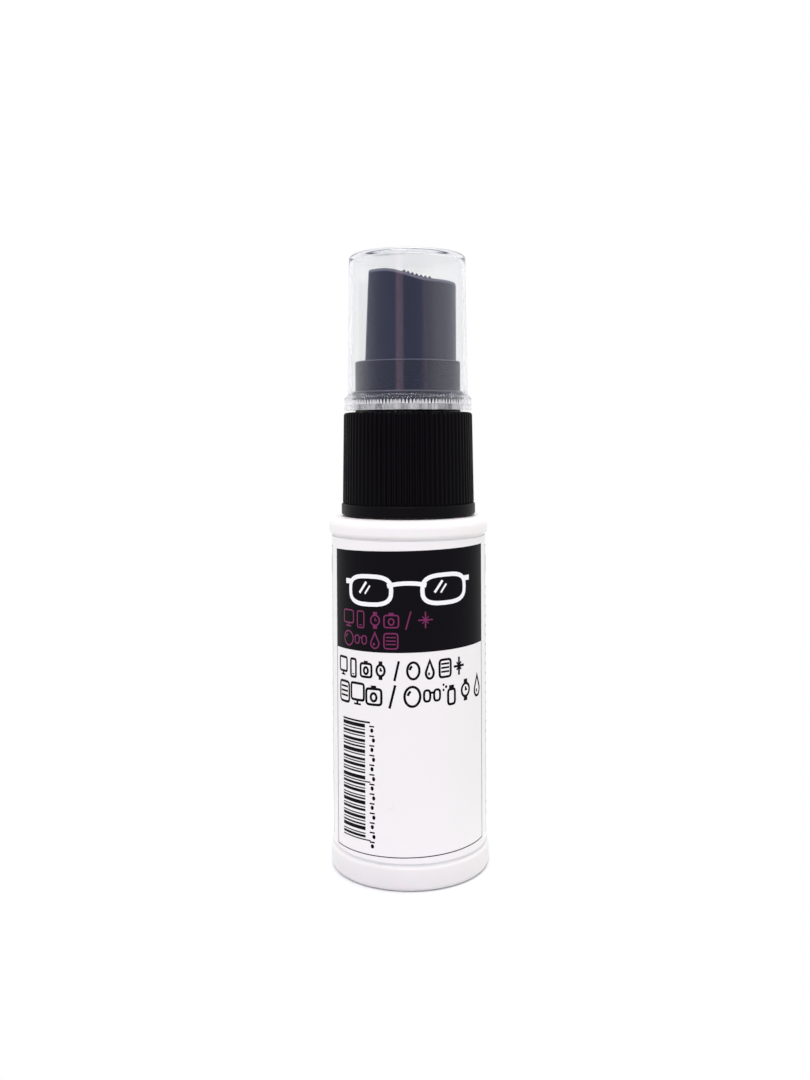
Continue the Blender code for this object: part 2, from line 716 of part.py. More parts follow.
def make_actuator(material):
    """The finger button: shell, post for the stem, boss and recess for the nozzle insert."""
    actuator = add_object("actuator", actuator_body(), material)
    roof = actuator_top - PAD_FALL - PAD_DISH - ACTUATOR_ROOF
    inner = actuator_radius - ACTUATOR_WALL
    low = actuator_bottom - REST_GAP
    hollow = [
        d_ring(inner, flat_x(low) + ACTUATOR_WALL, low),
        d_ring(inner, flat_x(roof) + ACTUATOR_WALL, roof),
    ]
    cut(actuator, "shell_hollow", loft(hollow))
    post_bottom = actuator_bottom + STROKE / 2
    join(actuator, "stem_post", rod(post_radius, post_bottom, roof + REST_GAP, PUMP_STEPS))
    face = flat_x(nozzle_z)
    boss_radius = recess_radius + BOSS_WALL
    boss = rod(boss_radius, face + ACTUATOR_WALL / 2, -STEM_RADIUS, PUMP_STEPS)
    join(actuator, "nozzle_boss", along_x(boss, nozzle_z))
    cut(actuator, "stem_bore", rod(post_bore, post_bottom - REST_GAP, stem_top + REST_GAP))
    feed_z = nozzle_z + (pin_radius + NOZZLE_RADIUS - NOZZLE_WALL) / 2
    flow_top = feed_z + FEED_RADIUS + REST_GAP
    cut(actuator, "flow_bore", rod(STEM_BORE_RADIUS, stem_top, flow_top, PORT_STEPS))
    floor_x = face + NOZZLE_SET_BACK + NOZZLE_LENGTH + REST_GAP
    pin_x = face + NOZZLE_SET_BACK + NOZZLE_FACE + REST_GAP
    recess = [
        (0.0, pin_x),
        (pin_radius, pin_x),
        (pin_radius, floor_x),
        (recess_radius, floor_x),
        (recess_radius, face - NOZZLE_LENGTH),
        (0.0, face - NOZZLE_LENGTH),
    ]
    cut(actuator, "nozzle_recess", along_x(turned(recess, PUMP_STEPS, closed=False), nozzle_z))
    channel = rod(FEED_RADIUS, floor_x - REST_GAP, 0.0, PORT_STEPS)
    cut(actuator, "feed_channel", along_x(channel, feed_z))
    return actuator


def make_nozzle(material):
    """The insert: a small cup over the recess's pin with the spray orifice in its face."""
    front = flat_x(nozzle_z) + NOZZLE_SET_BACK
    back = front + NOZZLE_LENGTH
    inner = NOZZLE_RADIUS - NOZZLE_WALL
    profile = [
        (inner, back),
        (NOZZLE_RADIUS, back),
        (NOZZLE_RADIUS, front),
        (3 * ORIFICE_RADIUS, front),
        (ORIFICE_RADIUS, front + ORIFICE_RADIUS),
        (ORIFICE_RADIUS, front + NOZZLE_FACE),
        (inner, front + NOZZLE_FACE),
    ]
    return add_object("nozzle_insert", along_x(turned(profile, PUMP_STEPS), nozzle_z), material)


def make_overcap(material):
    """The clear cap: a thin tapered cup with a flared foot that stands on the deck."""
    flange_z = cap_bottom + CAP_FLANGE_HEIGHT
    foot_bore = COLLAR_RADIUS + SNAP_BEAD + CAP_FLANGE_BORE_GAP
    inner_foot = cap_foot_radius - CAP_WALL
    inner_top = cap_top_radius - CAP_WALL
    profile = [(0.0, cap_top)]
    profile += corner(
        cap_top_radius - CAP_TOP_CORNER, cap_top - CAP_TOP_CORNER, CAP_TOP_CORNER, 90, 0
    )
    profile += [
        (cap_foot_radius, flange_z + CAP_FLARE),
        (cap_flange_radius, flange_z),
        (cap_flange_radius, cap_bottom),
        (foot_bore, cap_bottom),
        (foot_bore, flange_z),
        (inner_foot, flange_z),
        (inner_top, cap_ceiling),
        (0.0, cap_ceiling),
    ]
    return add_object("overcap", turned(profile, CAP_STEPS, closed=False), material)


def main():
    clear_scene()
    white = plastic("white_bottle", (0.86, 0.86, 0.87), 0.38)
    paper = plastic("label_paper", (0.9, 0.9, 0.91), 0.3)
    black = plastic("black_closure", (0.012, 0.011, 0.013), 0.42)
    button = plastic("black_actuator", (0.016, 0.018, 0.026), 0.36)
    insert = plastic("black_insert", (0.014, 0.014, 0.016), 0.4)
    natural = plastic("natural_pump", (0.82, 0.83, 0.82), 0.4)
    seal = plastic("seal_foam", (0.8, 0.8, 0.78), 0.7)
    soft = plastic("piston_plastic", (0.78, 0.8, 0.82), 0.45)
    tube = plastic("tube_plastic", (0.85, 0.87, 0.88), 0.3)
    steel = plastic("spring_steel", (0.62, 0.62, 0.63), 0.25, metallic=1.0)
    glass = plastic("ball_glass", (0.7, 0.75, 0.75), 0.1)
    clear = plastic("clear_cap", (0.95, 0.96, 0.97), 0.06, transmission=1.0)
    make_bottle(white)
    make_label(paper)
    make_closure(black)
    make_gasket(seal)
    make_housing(natural)
    make_guide(natural)
    make_stem(natural)
    make_valve_rod(natural)
    make_piston(soft)
    make_spring(steel)
    make_ball(glass)
    make_dip_tube(tube)
    make_actuator(button)
    make_nozzle(insert)
    make_overcap(clear)


main()
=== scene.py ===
# %% [markdown]
# # A lens cleaning spray
# A small white bottle holds 30 ml of cleaner. A fine mist pump screws on its neck, its finger button
# slides in a round collar, and a clear overcap keeps the button clean. The CAD model gives every place
# and joint. This script gives each piece its fine surface and its finish.
# Lengths are in metres, +Z is up, the label looks along -Y and the spray leaves along -X.

import math

import bmesh
import bpy
import numpy as np
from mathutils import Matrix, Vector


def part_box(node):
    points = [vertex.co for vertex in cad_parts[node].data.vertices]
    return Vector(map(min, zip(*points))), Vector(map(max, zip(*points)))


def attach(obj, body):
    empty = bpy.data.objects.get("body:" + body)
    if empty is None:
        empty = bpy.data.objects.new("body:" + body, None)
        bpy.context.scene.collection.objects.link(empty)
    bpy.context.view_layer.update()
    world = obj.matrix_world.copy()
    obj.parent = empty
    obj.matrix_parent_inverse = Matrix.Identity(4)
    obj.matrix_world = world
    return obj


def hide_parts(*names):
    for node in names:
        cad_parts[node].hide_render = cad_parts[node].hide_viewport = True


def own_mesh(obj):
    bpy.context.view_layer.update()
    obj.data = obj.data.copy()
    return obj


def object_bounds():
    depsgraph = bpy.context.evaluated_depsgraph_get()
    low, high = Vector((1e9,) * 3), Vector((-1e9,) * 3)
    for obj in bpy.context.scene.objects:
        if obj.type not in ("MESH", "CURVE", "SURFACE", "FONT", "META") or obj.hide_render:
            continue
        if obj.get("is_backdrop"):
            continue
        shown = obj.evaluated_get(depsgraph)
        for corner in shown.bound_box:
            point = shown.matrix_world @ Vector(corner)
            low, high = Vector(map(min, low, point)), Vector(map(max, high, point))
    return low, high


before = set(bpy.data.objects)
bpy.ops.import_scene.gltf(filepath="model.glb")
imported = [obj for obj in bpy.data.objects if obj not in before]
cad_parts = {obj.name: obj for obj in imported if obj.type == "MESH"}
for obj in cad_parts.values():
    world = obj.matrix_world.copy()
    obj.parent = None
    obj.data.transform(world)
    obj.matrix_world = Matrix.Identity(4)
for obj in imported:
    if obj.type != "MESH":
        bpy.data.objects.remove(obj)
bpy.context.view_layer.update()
MM = 0.001
scene = bpy.context.scene

# %% [markdown]
# ## Camera
# The object is small and the lens is close, about 185 mm away, so the nearer rims curve strongly.
# A camera at the same distance gives the same curves, which no zoom from farther away can. It looks
# almost level from two thirds of the way up. A small vertical shift frames the whole bottle without
# tilting the lens, and a roll of a third of a degree gives the slight lean.

# %% Camera
CAMERA_DISTANCE = 184.9 * MM
CAMERA_HEIGHT = 76.2 * MM
CAMERA_LENS = 34.66
CAMERA_PITCH = math.radians(0.915)
CAMERA_ROLL = math.radians(-0.29)
CAMERA_SHIFT = (-0.0028, -0.084)

camera_data = bpy.data.cameras.new("camera")
camera_data.lens = CAMERA_LENS
camera_data.sensor_width = 36.0
camera_data.shift_x, camera_data.shift_y = CAMERA_SHIFT
camera_data.clip_start = 0.01
camera = bpy.data.objects.new("camera", camera_data)
scene.collection.objects.link(camera)
camera.rotation_mode = "XYZ"
camera.location = (0.0, -CAMERA_DISTANCE, CAMERA_HEIGHT)
camera.rotation_euler = (math.pi / 2 - CAMERA_PITCH, -CAMERA_ROLL, 0.0)
scene.camera = camera
print("camera", [round(v / MM, 1) for v in camera.location], "mm, lens", CAMERA_LENS)

# %% [markdown]
# ## Building surfaces
# Nearly every piece here is round, so it is one grid of points: the rows run along a section and the
# columns run round the axis. A few lines of numpy place all points at once, and the grid's neighbours
# are its faces. Rows that end on the axis collapse to one point, which a merge closes.

# %% Surfaces from grids
SHARP_ANGLE = math.radians(38)


def surface(name, grid, wrap_rows=True):
    """Mesh of a grid[row, column] of points whose columns close; rows close too, or end in poles."""
    rows, columns, _ = grid.shape
    i = np.arange(rows if wrap_rows else rows - 1)[:, None]
    j = np.arange(columns)[None, :]
    below, beside = (i + 1) % rows, (j + 1) % columns
    corners = (i * columns + j, i * columns + beside, below * columns + beside, below * columns + j)
    faces = np.stack(np.broadcast_arrays(*corners), axis=-1).reshape(-1, 4)
    mesh = bpy.data.meshes.new(name)
    mesh.from_pydata(grid.reshape(-1, 3), [], faces)
    return finish_mesh(name, mesh)


def finish_mesh(name, mesh):
    """Merges doubled points, turns the faces outwards, smooths the shading and links the object."""
    bm = bmesh.new()
    bm.from_mesh(mesh)
    bmesh.ops.remove_doubles(bm, verts=bm.verts, dist=1e-7)
    bmesh.ops.recalc_face_normals(bm, faces=bm.faces)
    bm.to_mesh(mesh)
    bm.free()
    mesh.shade_smooth()
    mesh.set_sharp_from_angle(angle=SHARP_ANGLE)
    piece = bpy.data.objects.new(name, mesh)
    scene.collection.objects.link(piece)
    return piece


def arc(centre_r, centre_z, radius, start, end, steps=8):
    """Points (r, z) on a circle of that centre and radius, from angle start to end in degrees."""
    angle = np.radians(np.linspace(start, end, steps + 1))
    return np.stack([centre_r + radius * np.cos(angle), centre_z + radius * np.sin(angle)], axis=1)


def section(*parts):
    """One section (r, z) from points and arcs in turn."""
    return np.concatenate([np.atleast_2d(np.asarray(part, float)) for part in parts])


def held(profile, reach=0.12, closed=False):
    """The section with extra points near the ends of its long lines, so that they shade as straight."""
    start = np.asarray(profile, float)
    end = np.roll(start, -1, axis=0)
    run = end - start
    length = np.linalg.norm(run, axis=1, keepdims=True)
    step = run / np.maximum(length, 1e-9) * reach
    long = (length > 4 * reach) & (closed | (np.arange(len(start)) < len(start) - 1)[:, None])
    trio = np.stack([start, np.where(long, start + step, start), np.where(long, end - step, start)], axis=1)
    rows = trio.reshape(-1, 2)
    keep = np.append(True, np.abs(np.diff(rows, axis=0)).sum(axis=1) > 1e-9)
    return rows[keep]


def around(columns):
    """Angles of the columns round the axis, as a row."""
    return np.linspace(0.0, math.tau, columns, endpoint=False)[None, :]


def turned_grid(profile, columns, proud=0.0):
    """Points r = profile r + proud, turned about Z: x = r cos a, y = r sin a."""
    angle = around(columns)
    r = profile[:, :1] + proud
    z = np.broadcast_to(profile[:, 1:], (len(profile), columns))
    return np.stack([r * np.cos(angle), r * np.sin(angle), z], axis=-1)


def turned(name, profile, columns=128, wrap_rows=True):
    """A plain turned piece."""
    return surface(name, turned_grid(np.asarray(profile, float), columns), wrap_rows)


def capped(grid):
    """The grid with one more row at each end, all of it at that row's middle, so that both ends close."""
    middles = grid.mean(axis=1, keepdims=True)
    first, last = (np.broadcast_to(middle, grid[:1].shape) for middle in (middles[:1], middles[-1:]))
    return np.concatenate([first, grid, last])


def laid_along_x(points):
    """Points turned a quarter about Y, so that what stood along Z lies along X."""
    return points[..., [2, 1, 0]] * [1, 1, -1]


print("surface tools ready")

# %% [markdown]
# ## Node tools
# A material is a small graph of nodes. These tools add one node at a time. Every input is either a
# constant or the output of another node.

# %% Node tools
def set_input(tree, socket, value):
    """Links the socket to another node's output, or gives it a constant."""
    if isinstance(value, bpy.types.NodeSocket):
        tree.links.new(value, socket)
    else:
        socket.default_value = value


def set_inputs(tree, target, **inputs):
    """Sets a node's inputs by name."""
    for name, value in inputs.items():
        set_input(tree, target.inputs[name.replace("_", " ")], value)


def node(tree, kind, **inputs):
    """A new node with its inputs set by name."""
    made = tree.nodes.new(kind)
    set_inputs(tree, made, **inputs)
    return made


def math_node(tree, operation, *values):
    """The output of a Math node that takes the values in turn."""
    made = tree.nodes.new("ShaderNodeMath")
    made.operation = operation
    for socket, value in zip(made.inputs, values):
        set_input(tree, socket, value)
    return made.outputs[0]


def remap(tree, value, smooth=False, **limits):
    """The value carried from one range to another and held at both ends; smooth eases it in and out."""
    made = node(tree, "ShaderNodeMapRange", Value=value, **limits)
    if smooth:
        made.interpolation_type = "SMOOTHSTEP"
    return made.outputs[0]


def mix_colour(tree, factor, a, b):
    """The colour between a and b at factor."""
    made = tree.nodes.new("ShaderNodeMix")
    made.data_type = "RGBA"
    set_inputs(tree, made, Factor=factor, A=a, B=b)
    return made.outputs["Result"]


def blend_tone(material, share, tone):
    """Mixes the tone into the material's colour by share, over what is there already."""
    tree = material.node_tree
    colour = tree.nodes["Principled BSDF"].inputs["Base Color"]
    tree.links.new(mix_colour(tree, share, colour.links[0].from_socket, (*tone, 1.0)), colour)


def own_place(material):
    """The outputs X, Y and Z of the point in the object's own metres."""
    tree = material.node_tree
    place = tree.nodes["Texture Coordinate"].outputs["Object"]
    return node(tree, "ShaderNodeSeparateXYZ", Vector=place).outputs


print("node tools ready")

# %% [markdown]
# ## Plastics
# Moulded plastic is never perfectly even. The mould leaves a faint orange peel, the gloss wanders a
# little over a few millimetres, and handling leaves fine hazy scratches. One recipe makes all of
# these from noise in the object's own metres, so each stays the right size on every piece.

# %% Materials
BROAD_SIZE, SCRATCH_SIZE = 6, 0.25
# Tone of the painted highlight along the button's rounded edge under the pad.
EDGE_HIGHLIGHT_TONE = (0.17, 0.17, 0.21)


def plastic(name, colour, roughness, grain=0.35, grain_size=0.5, peel=0.012, tint=0.03, **shader_inputs):
    """Principled plastic: gloss varies by grain, peel in mm stands proud, tint varies the colour."""
    material = bpy.data.materials.new(name)
    material.use_nodes = True
    tree = material.node_tree
    place = tree.nodes.new("ShaderNodeTexCoord").outputs["Object"]
    stretched = node(tree, "ShaderNodeMapping", Vector=place, Scale=(1.0, 1.0, 0.05),
                     Rotation=(0.15, 0.1, 0.0)).outputs[0]
    noises = ((place, BROAD_SIZE, 3.0), (place, grain_size, 2.0), (stretched, SCRATCH_SIZE, 1.0))
    broad, fine, scratch = (
        node(tree, "ShaderNodeTexNoise", Vector=spot, Scale=1 / (size * MM), Detail=detail).outputs["Fac"]
        for spot, size, detail in noises)
    gloss = remap(tree, broad, To_Min=roughness * (1 - grain), To_Max=roughness * (1 + grain))
    haze = remap(tree, scratch, From_Min=0.66, From_Max=0.8, To_Max=0.12)
    darker = (*(c * (1 - tint) for c in colour), 1.0)
    lighter = (*(min(1.0, c * (1 + tint)) for c in colour), 1.0)
    bump = node(tree, "ShaderNodeBump", Height=fine, Strength=0.5, Distance=peel * MM)
    set_inputs(tree, tree.nodes["Principled BSDF"], Roughness=math_node(tree, "ADD", gloss, haze),
               Base_Color=mix_colour(tree, broad, darker, lighter), Normal=bump.outputs[0], **shader_inputs)
    return material


WHITE_HDPE = plastic("white HDPE", (0.85, 0.83, 0.82), 0.36, peel=0.02, Subsurface_Weight=0.15,
                     Subsurface_Scale=1.5 * MM, Specular_IOR_Level=0.4)
WHITE_FILM = plastic("label film", (0.855, 0.836, 0.825), 0.32, peel=0.003, tint=0.006,
                     Specular_IOR_Level=0.35)
BLACK_INK = plastic("black ink", (0.0045, 0.0038, 0.0055), 0.26, peel=0.003, Specular_IOR_Level=0.04)
WHITE_INK = plastic("white ink", (0.88, 0.88, 0.89), 0.35, peel=0.003, Specular_IOR_Level=0.3)
MAGENTA_INK = plastic("magenta ink", (0.165, 0.013, 0.085), 0.35, peel=0.003, Specular_IOR_Level=0.25)
BLACK_PP = plastic("black polypropylene", (0.0032, 0.0026, 0.0036), 0.4, peel=0.02, Specular_IOR_Level=0.06)
BUTTON_PP = plastic("blue-black button", (0.006, 0.0065, 0.014), 0.36, peel=0.012, Specular_IOR_Level=0.08,
                    Sheen_Weight=0.2, Sheen_Roughness=0.4, Sheen_Tint=(0.4, 0.44, 1.0, 1.0))
CLEAR_CAP = plastic("clear cap", (0.955, 0.955, 0.945), 0.03, peel=0.002, tint=0.0, Transmission_Weight=1.0,
                    IOR=1.12, Coat_Weight=0.8, Coat_IOR=1.5, Coat_Roughness=0.03,
                    Sheen_Weight=0.075, Sheen_Roughness=0.8, Sheen_Tint=(0.5, 0.54, 1.0, 1.0))
NATURAL_PP = plastic("natural polypropylene", (0.8, 0.81, 0.8), 0.4, Subsurface_Weight=0.2,
                     Subsurface_Scale=MM)
SEAL_FOAM = plastic("seal foam", (0.78, 0.78, 0.75), 0.75, grain_size=0.15, peel=0.05)
PISTON_PE = plastic("piston polyethylene", (0.74, 0.77, 0.8), 0.45)
TUBE_PE = plastic("dip tube polyethylene", (0.82, 0.84, 0.85), 0.3, Transmission_Weight=0.5)
SPRING_STEEL = plastic("spring steel", (0.6, 0.6, 0.61), 0.24, Metallic=1.0, grain_size=0.1, peel=0.004)
BALL_STEEL = plastic("ball steel", (0.66, 0.66, 0.67), 0.12, Metallic=1.0, peel=0.001)
# Painted highlight: a paler tone mixed into the button along the rounded edge under its pad.
edge_highlight_mark = node(BUTTON_PP.node_tree, "ShaderNodeAttribute")
edge_highlight_mark.attribute_name = "edge_highlight"
blend_tone(BUTTON_PP, edge_highlight_mark.outputs["Fac"], EDGE_HIGHLIGHT_TONE)
print(len(bpy.data.materials), "materials")

# %% [markdown]
# Painted shade: the white darkens over the last 9 mm towards the base, standing in for the shade low
# on the bottle, where little light comes up from beneath.

# %% Shade towards the base
def paint_shade_towards_base(material, height, share):
    """Painted shade: multiplies the colour by share at z = 0, rising to 1 at height in mm."""
    tree = material.node_tree
    level = remap(tree, own_place(material)["Z"], smooth=True, From_Max=height * MM, To_Min=share)
    colour = tree.nodes["Principled BSDF"].inputs["Base Color"]
    scaled = tree.nodes.new("ShaderNodeVectorMath")
    scaled.operation = "SCALE"
    set_inputs(tree, scaled, Vector=colour.links[0].from_socket, Scale=level)
    tree.links.new(scaled.outputs[0], colour)


PAINTED_SHADE_HEIGHT, PAINTED_SHADE_SHARE = 9.0, 0.89
# Painted shade on the white towards the bottle's base.
paint_shade_towards_base(WHITE_HDPE, PAINTED_SHADE_HEIGHT, PAINTED_SHADE_SHARE)
print("white darkens to", PAINTED_SHADE_SHARE, "below", PAINTED_SHADE_HEIGHT, "mm")

# %% [markdown]
# Painted highlights: a thin band at the collar's top edge and at its bead mixes a lighter tone into
# the black, standing in for the light that catches these rounded edges.

# %% Painted highlight lines
HIGHLIGHT_LINE_HEIGHTS, HIGHLIGHT_LINE_REACH, HIGHLIGHT_LINE_TONE = (88.62, 83.34), 0.1, (0.13, 0.13, 0.16)


def paint_highlight_lines(material, heights, reach, tone):
    """Paints highlight lines: mixes tone into the colour where z is within reach of one of the heights, in
    mm.
    """
    z = own_place(material)["Z"]
    for height in heights:
        blend_tone(material, math_node(material.node_tree, "COMPARE", z, height * MM, reach * MM), tone)


# Painted highlights on the collar's top edge and its bead.
paint_highlight_lines(BLACK_PP, HIGHLIGHT_LINE_HEIGHTS, HIGHLIGHT_LINE_REACH, HIGHLIGHT_LINE_TONE)
print("painted highlights at", HIGHLIGHT_LINE_HEIGHTS, "mm")

# %% [markdown]
# The overcap's foot is the only hazy place on it. There the plastic leaves the mould's rough ledge, so
# streaks of haze run up from the foot. Above them a ring of small white teeth is a painted glint, standing
# for light mirrored off the closure's teeth. Haze is light that scatters and doesn't pass, so both are a
# lower share of transmission.

# %% Haze and painted glints at the overcap's foot
HAZE_TOP, GLINT_TOP, CAP_TEETH = 81.15, 81.9, 110
STREAK_SIZE, GLINT_WHITE = 1.6, 0.6


def add_foot_haze_and_glints(material, haze_top, glint_top, teeth):
    """Streaky haze up to haze_top; above it, a painted glint: white where sin(teeth x angle) beats the rise
    to the given top.
    """
    tree = material.node_tree
    place = tree.nodes["Texture Coordinate"].outputs["Object"]
    x, y, z = own_place(material)
    stretched = node(tree, "ShaderNodeMapping", Vector=place, Scale=(1.0, 1.0, 0.15)).outputs[0]
    streaks = node(tree, "ShaderNodeTexNoise", Vector=stretched, Scale=1 / (STREAK_SIZE * MM), Detail=2.0)
    share = remap(tree, streaks.outputs["Fac"], From_Min=0.4, From_Max=0.6, To_Min=0.66, To_Max=0.96)
    above = math_node(tree, "GREATER_THAN", z, haze_top * MM)
    clear = math_node(tree, "MAXIMUM", above, share)
    angle = math_node(tree, "ARCTAN2", y, x)
    wave = math_node(tree, "SINE", math_node(tree, "MULTIPLY", angle, float(teeth)))
    rise = remap(tree, z, From_Min=haze_top * MM, From_Max=glint_top * MM, To_Min=-0.6, To_Max=1.0)
    # Painted glint: the white teeth stand for light mirrored off the closure's teeth.
    tooth = math_node(tree, "MULTIPLY", above, math_node(tree, "GREATER_THAN", wave, rise))
    passed = math_node(tree, "SUBTRACT", clear, math_node(tree, "MULTIPLY", tooth, GLINT_WHITE))
    tree.links.new(passed, tree.nodes["Principled BSDF"].inputs["Transmission Weight"])


add_foot_haze_and_glints(CLEAR_CAP, HAZE_TOP, GLINT_TOP, CAP_TEETH)
print("haze up to", HAZE_TOP, "mm and teeth up to", GLINT_TOP, "mm")

# %% [markdown]
# ## The bottle
# The bottle is extrusion blown: a hot tube of polyethylene is caught in a two-part mould and blown out
# against it. The neck is the only part with a finished inside. A recessed panel takes the label, so
# its edges never meet a hand or the next bottle in a carton, and a foot ring keeps it from rocking on
# its pinched seam. Turning one section of the wall makes all of it, inside and outside together.

# %% Bottle
BODY_R, PANEL_R, BODY_TOP = 14.0, 13.4, 61.6
NECK_R, NECK_BORE, NECK_TOP = 9.05, 6.7, 75.5
FLOOR_TOP, WALL = 2.0, 1.4
outside = section(
    (NECK_BORE + 0.25, NECK_TOP), arc(NECK_R - 0.35, NECK_TOP - 0.35, 0.35, 90, 0),
    arc(NECK_R + 0.45, BODY_TOP + 0.45, 0.45, 180, 270),
    arc(BODY_R - 1.6, BODY_TOP - 1.6, 1.6, 90, 0, 16),
    arc(BODY_R - 0.6, 59.2, 0.6, 0, -48, 6), arc(PANEL_R + 0.4, 58.42, 0.4, 132, 180, 6),
    (PANEL_R, 40.0), (PANEL_R, 22.0),
    arc(PANEL_R + 0.4, 4.38, 0.4, 180, 228, 6), arc(BODY_R - 0.6, 3.6, 0.6, 48, 0, 6),
    arc(BODY_R - 0.95, 0.95, 0.95, 0, -90, 12),
    arc(11.1, 0.25, 0.25, -90, -180), arc(10.4, 0.55, 0.25, 0, 90), (5.0, 0.8), (0.0, 0.86),
)
inside = section(
    (0.0, FLOOR_TOP), (6.0, FLOOR_TOP), arc(BODY_R - WALL - 1.2, FLOOR_TOP + 1.2, 1.2, -90, 0),
    (BODY_R - WALL, 30.0), arc(BODY_R - WALL - 1.2, BODY_TOP - WALL - 1.2, 1.2, 0, 90),
    arc(NECK_BORE + 0.6, BODY_TOP - WALL + 0.6, 0.6, 270, 180), (NECK_BORE, NECK_TOP - 0.25),
)
bottle_shell = turned("bottle_shell", held(section(inside, outside)) * MM, 256, wrap_rows=False)
bottle_shell.data.materials.append(WHITE_HDPE)
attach(bottle_shell, "bottle_body")
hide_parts("bottle")
print("bottle", len(bottle_shell.data.polygons), "faces")

# %% [markdown]
# ## Screw threads
# A 20 mm neck has one and a half turns of a sloping bar at 3.2 mm pitch. The bar's section is carried
# along a helix, and its two ends run down into the wall so that the closure finds its way in. The
# closure's own bar is the same one turned inside out, and it sits just below the neck's.

# %% Threads
THREAD_TURNS, THREAD_PITCH = 1.5, 3.175


def helix_bar(name, wall, tip, start_z, base, crest, turns=THREAD_TURNS, pitch=THREAD_PITCH):
    """A bar from wall to tip on a right-hand helix: its section is scaled down at both ends."""
    stations = np.linspace(0.0, turns, int(turns * 180) + 1)[:, None]
    run_out = np.clip(np.minimum(stations, turns - stations) * 9 + 0.02, 0.02, 1.0) ** 0.6
    reach = np.array([0.0, 0.8, 1.0, 1.0, 0.8, 0.0])[None, :]
    half = np.array([-base, -crest - 0.12, -crest + 0.1, crest - 0.1, crest + 0.12, base])[None, :] / 2
    r = wall + (tip - wall) * reach * run_out
    z = start_z + pitch * stations + half * run_out
    angle = math.tau * stations
    grid = np.stack([r * np.cos(angle), r * np.sin(angle), z], axis=-1)
    return surface(name, capped(grid) * MM, wrap_rows=False)


THREAD_START = NECK_TOP - 1.6 - THREAD_TURNS * THREAD_PITCH
neck_thread = helix_bar("neck_thread", NECK_R - 0.15, 10.0, THREAD_START, 1.6, 0.8)
neck_thread.data.materials.append(WHITE_HDPE)
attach(neck_thread, "bottle_body")
closure_thread = helix_bar("closure_thread", 10.5, 9.35, THREAD_START - 1.35, 1.6, 0.8)
closure_thread.data.materials.append(BLACK_PP)
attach(closure_thread, "closure")
print("threads start at z", round(THREAD_START, 2), "mm")

# %% [markdown]
# ## The closure
# The closure is one polypropylene moulding: a threaded skirt with eighty grip ribs, a flat deck, and
# a smooth round collar that guides the finger button. A small bead round the collar is what the
# overcap snaps over. The ribs are a height added to the skirt's wall. They stop at a plain band at
# the foot, where the mould's stripper ring pushes, and end in bare teeth at the edge of the deck.

# %% Closure
DECK, COLLAR_R, COLLAR_TOP, BEAD_Z = 79.8, 9.3, 88.7, 83.3
SKIRT_FOOT, SKIRT_TOP, SKIRT_BORE = 61.9, 79.35, 10.35
RIBS, RIB_DEPTH, RIB_COLUMNS = 80, 0.34, 8
RIB_SHARE, RIB_FLANK = 0.62, 0.3
wall_z = np.linspace(63.9, SKIRT_TOP, 24)
wall_r = np.interp(wall_z, (63.8, SKIRT_TOP), (11.4, 11.15))
closure_section = section(
    arc(COLLAR_R - 0.36, COLLAR_TOP - 0.14, 0.14, 180, 90, 3),
    arc(COLLAR_R - 0.2, COLLAR_TOP - 0.2, 0.2, 90, 0, 4),
    (COLLAR_R, BEAD_Z + 0.3), arc(COLLAR_R, BEAD_Z, 0.2, 70, -70, 8), (COLLAR_R, BEAD_Z - 0.3),
    arc(COLLAR_R + 0.25, DECK + 0.25, 0.25, 180, 270, 4), (10.6, DECK), (10.95, DECK - 0.12),
    np.stack([wall_r, wall_z], axis=1)[::-1],
    arc(11.6, 63.55, 0.25, 90, 0, 4), arc(11.65, 62.1, 0.2, 0, -90, 4), (SKIRT_BORE + 0.3, SKIRT_FOOT),
    (SKIRT_BORE, SKIRT_FOOT + 0.3), (SKIRT_BORE, 78.6), (6.1, 78.6), (6.1, DECK), (COLLAR_R - 0.5, DECK),
)
closure_section = held(closure_section, closed=True)
phase = np.abs(around(RIBS * RIB_COLUMNS) / math.tau * RIBS % 1.0 - 0.5) * 2
tooth = np.clip((RIB_SHARE - phase) / RIB_FLANK, 0.0, 1.0)
tooth = tooth * tooth * (3 - 2 * tooth)
level, radius = closure_section[:, 1:], closure_section[:, :1]
ribbed = np.clip((level - 63.75) / 0.25, 0, 1) * np.clip((DECK - 0.02 - level) / 0.1, 0, 1) * (radius > 10.8)
grid = turned_grid(closure_section, RIBS * RIB_COLUMNS, proud=ribbed * RIB_DEPTH * tooth - 0.1 * ribbed)
screw_closure = surface("closure_shell", grid * MM)
screw_closure.data.materials.append(BLACK_PP)
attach(screw_closure, "closure")
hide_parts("screw_closure")
print("closure", len(screw_closure.data.polygons), "faces,", RIBS, "ribs")

# %% [markdown]
# ## The finger button
# The button is a shell with a round post inside that grips the pump's stem. One side is cut flat for
# the spray nozzle. Its top falls away from the nozzle so that a finger finds the right place without
# looking, and small ribs across the slope keep a damp finger from slipping. Outline, edge and pad are
# one grid: rings that follow the flat-sided outline, climb the wall, round the edge and close in. An
# attribute marks the rounded edge just under the pad, where a paler tone is a painted highlight.

# %% Button
BUTTON_FOOT, BUTTON_TOP, BUTTON_R, NOZZLE_Z = 84.9, 104.3, 8.6, 97.5
PAD_FALL, PAD_DISH, PAD_RIB, PAD_PITCH, EDGE_ROUND = 1.8, 0.3, 0.36, 0.72, 0.32
HIGHLIGHT_START, HIGHLIGHT_END, HIGHLIGHT_FADE = 0.05, 0.56, 0.1
FLAT_CUT, FLAT_LEAN, CORNER_SHARPNESS = 1.25, math.tan(math.radians(2.6)), 7.0
ROOF_Z, SHELL = 100.9, 0.9
COLUMNS = 640


def flat_x(height):
    """x of the flat side at a height: it leans inwards by 2.6 degrees going up."""
    return FLAT_CUT - BUTTON_R + FLAT_LEAN * (height - COLLAR_TOP)


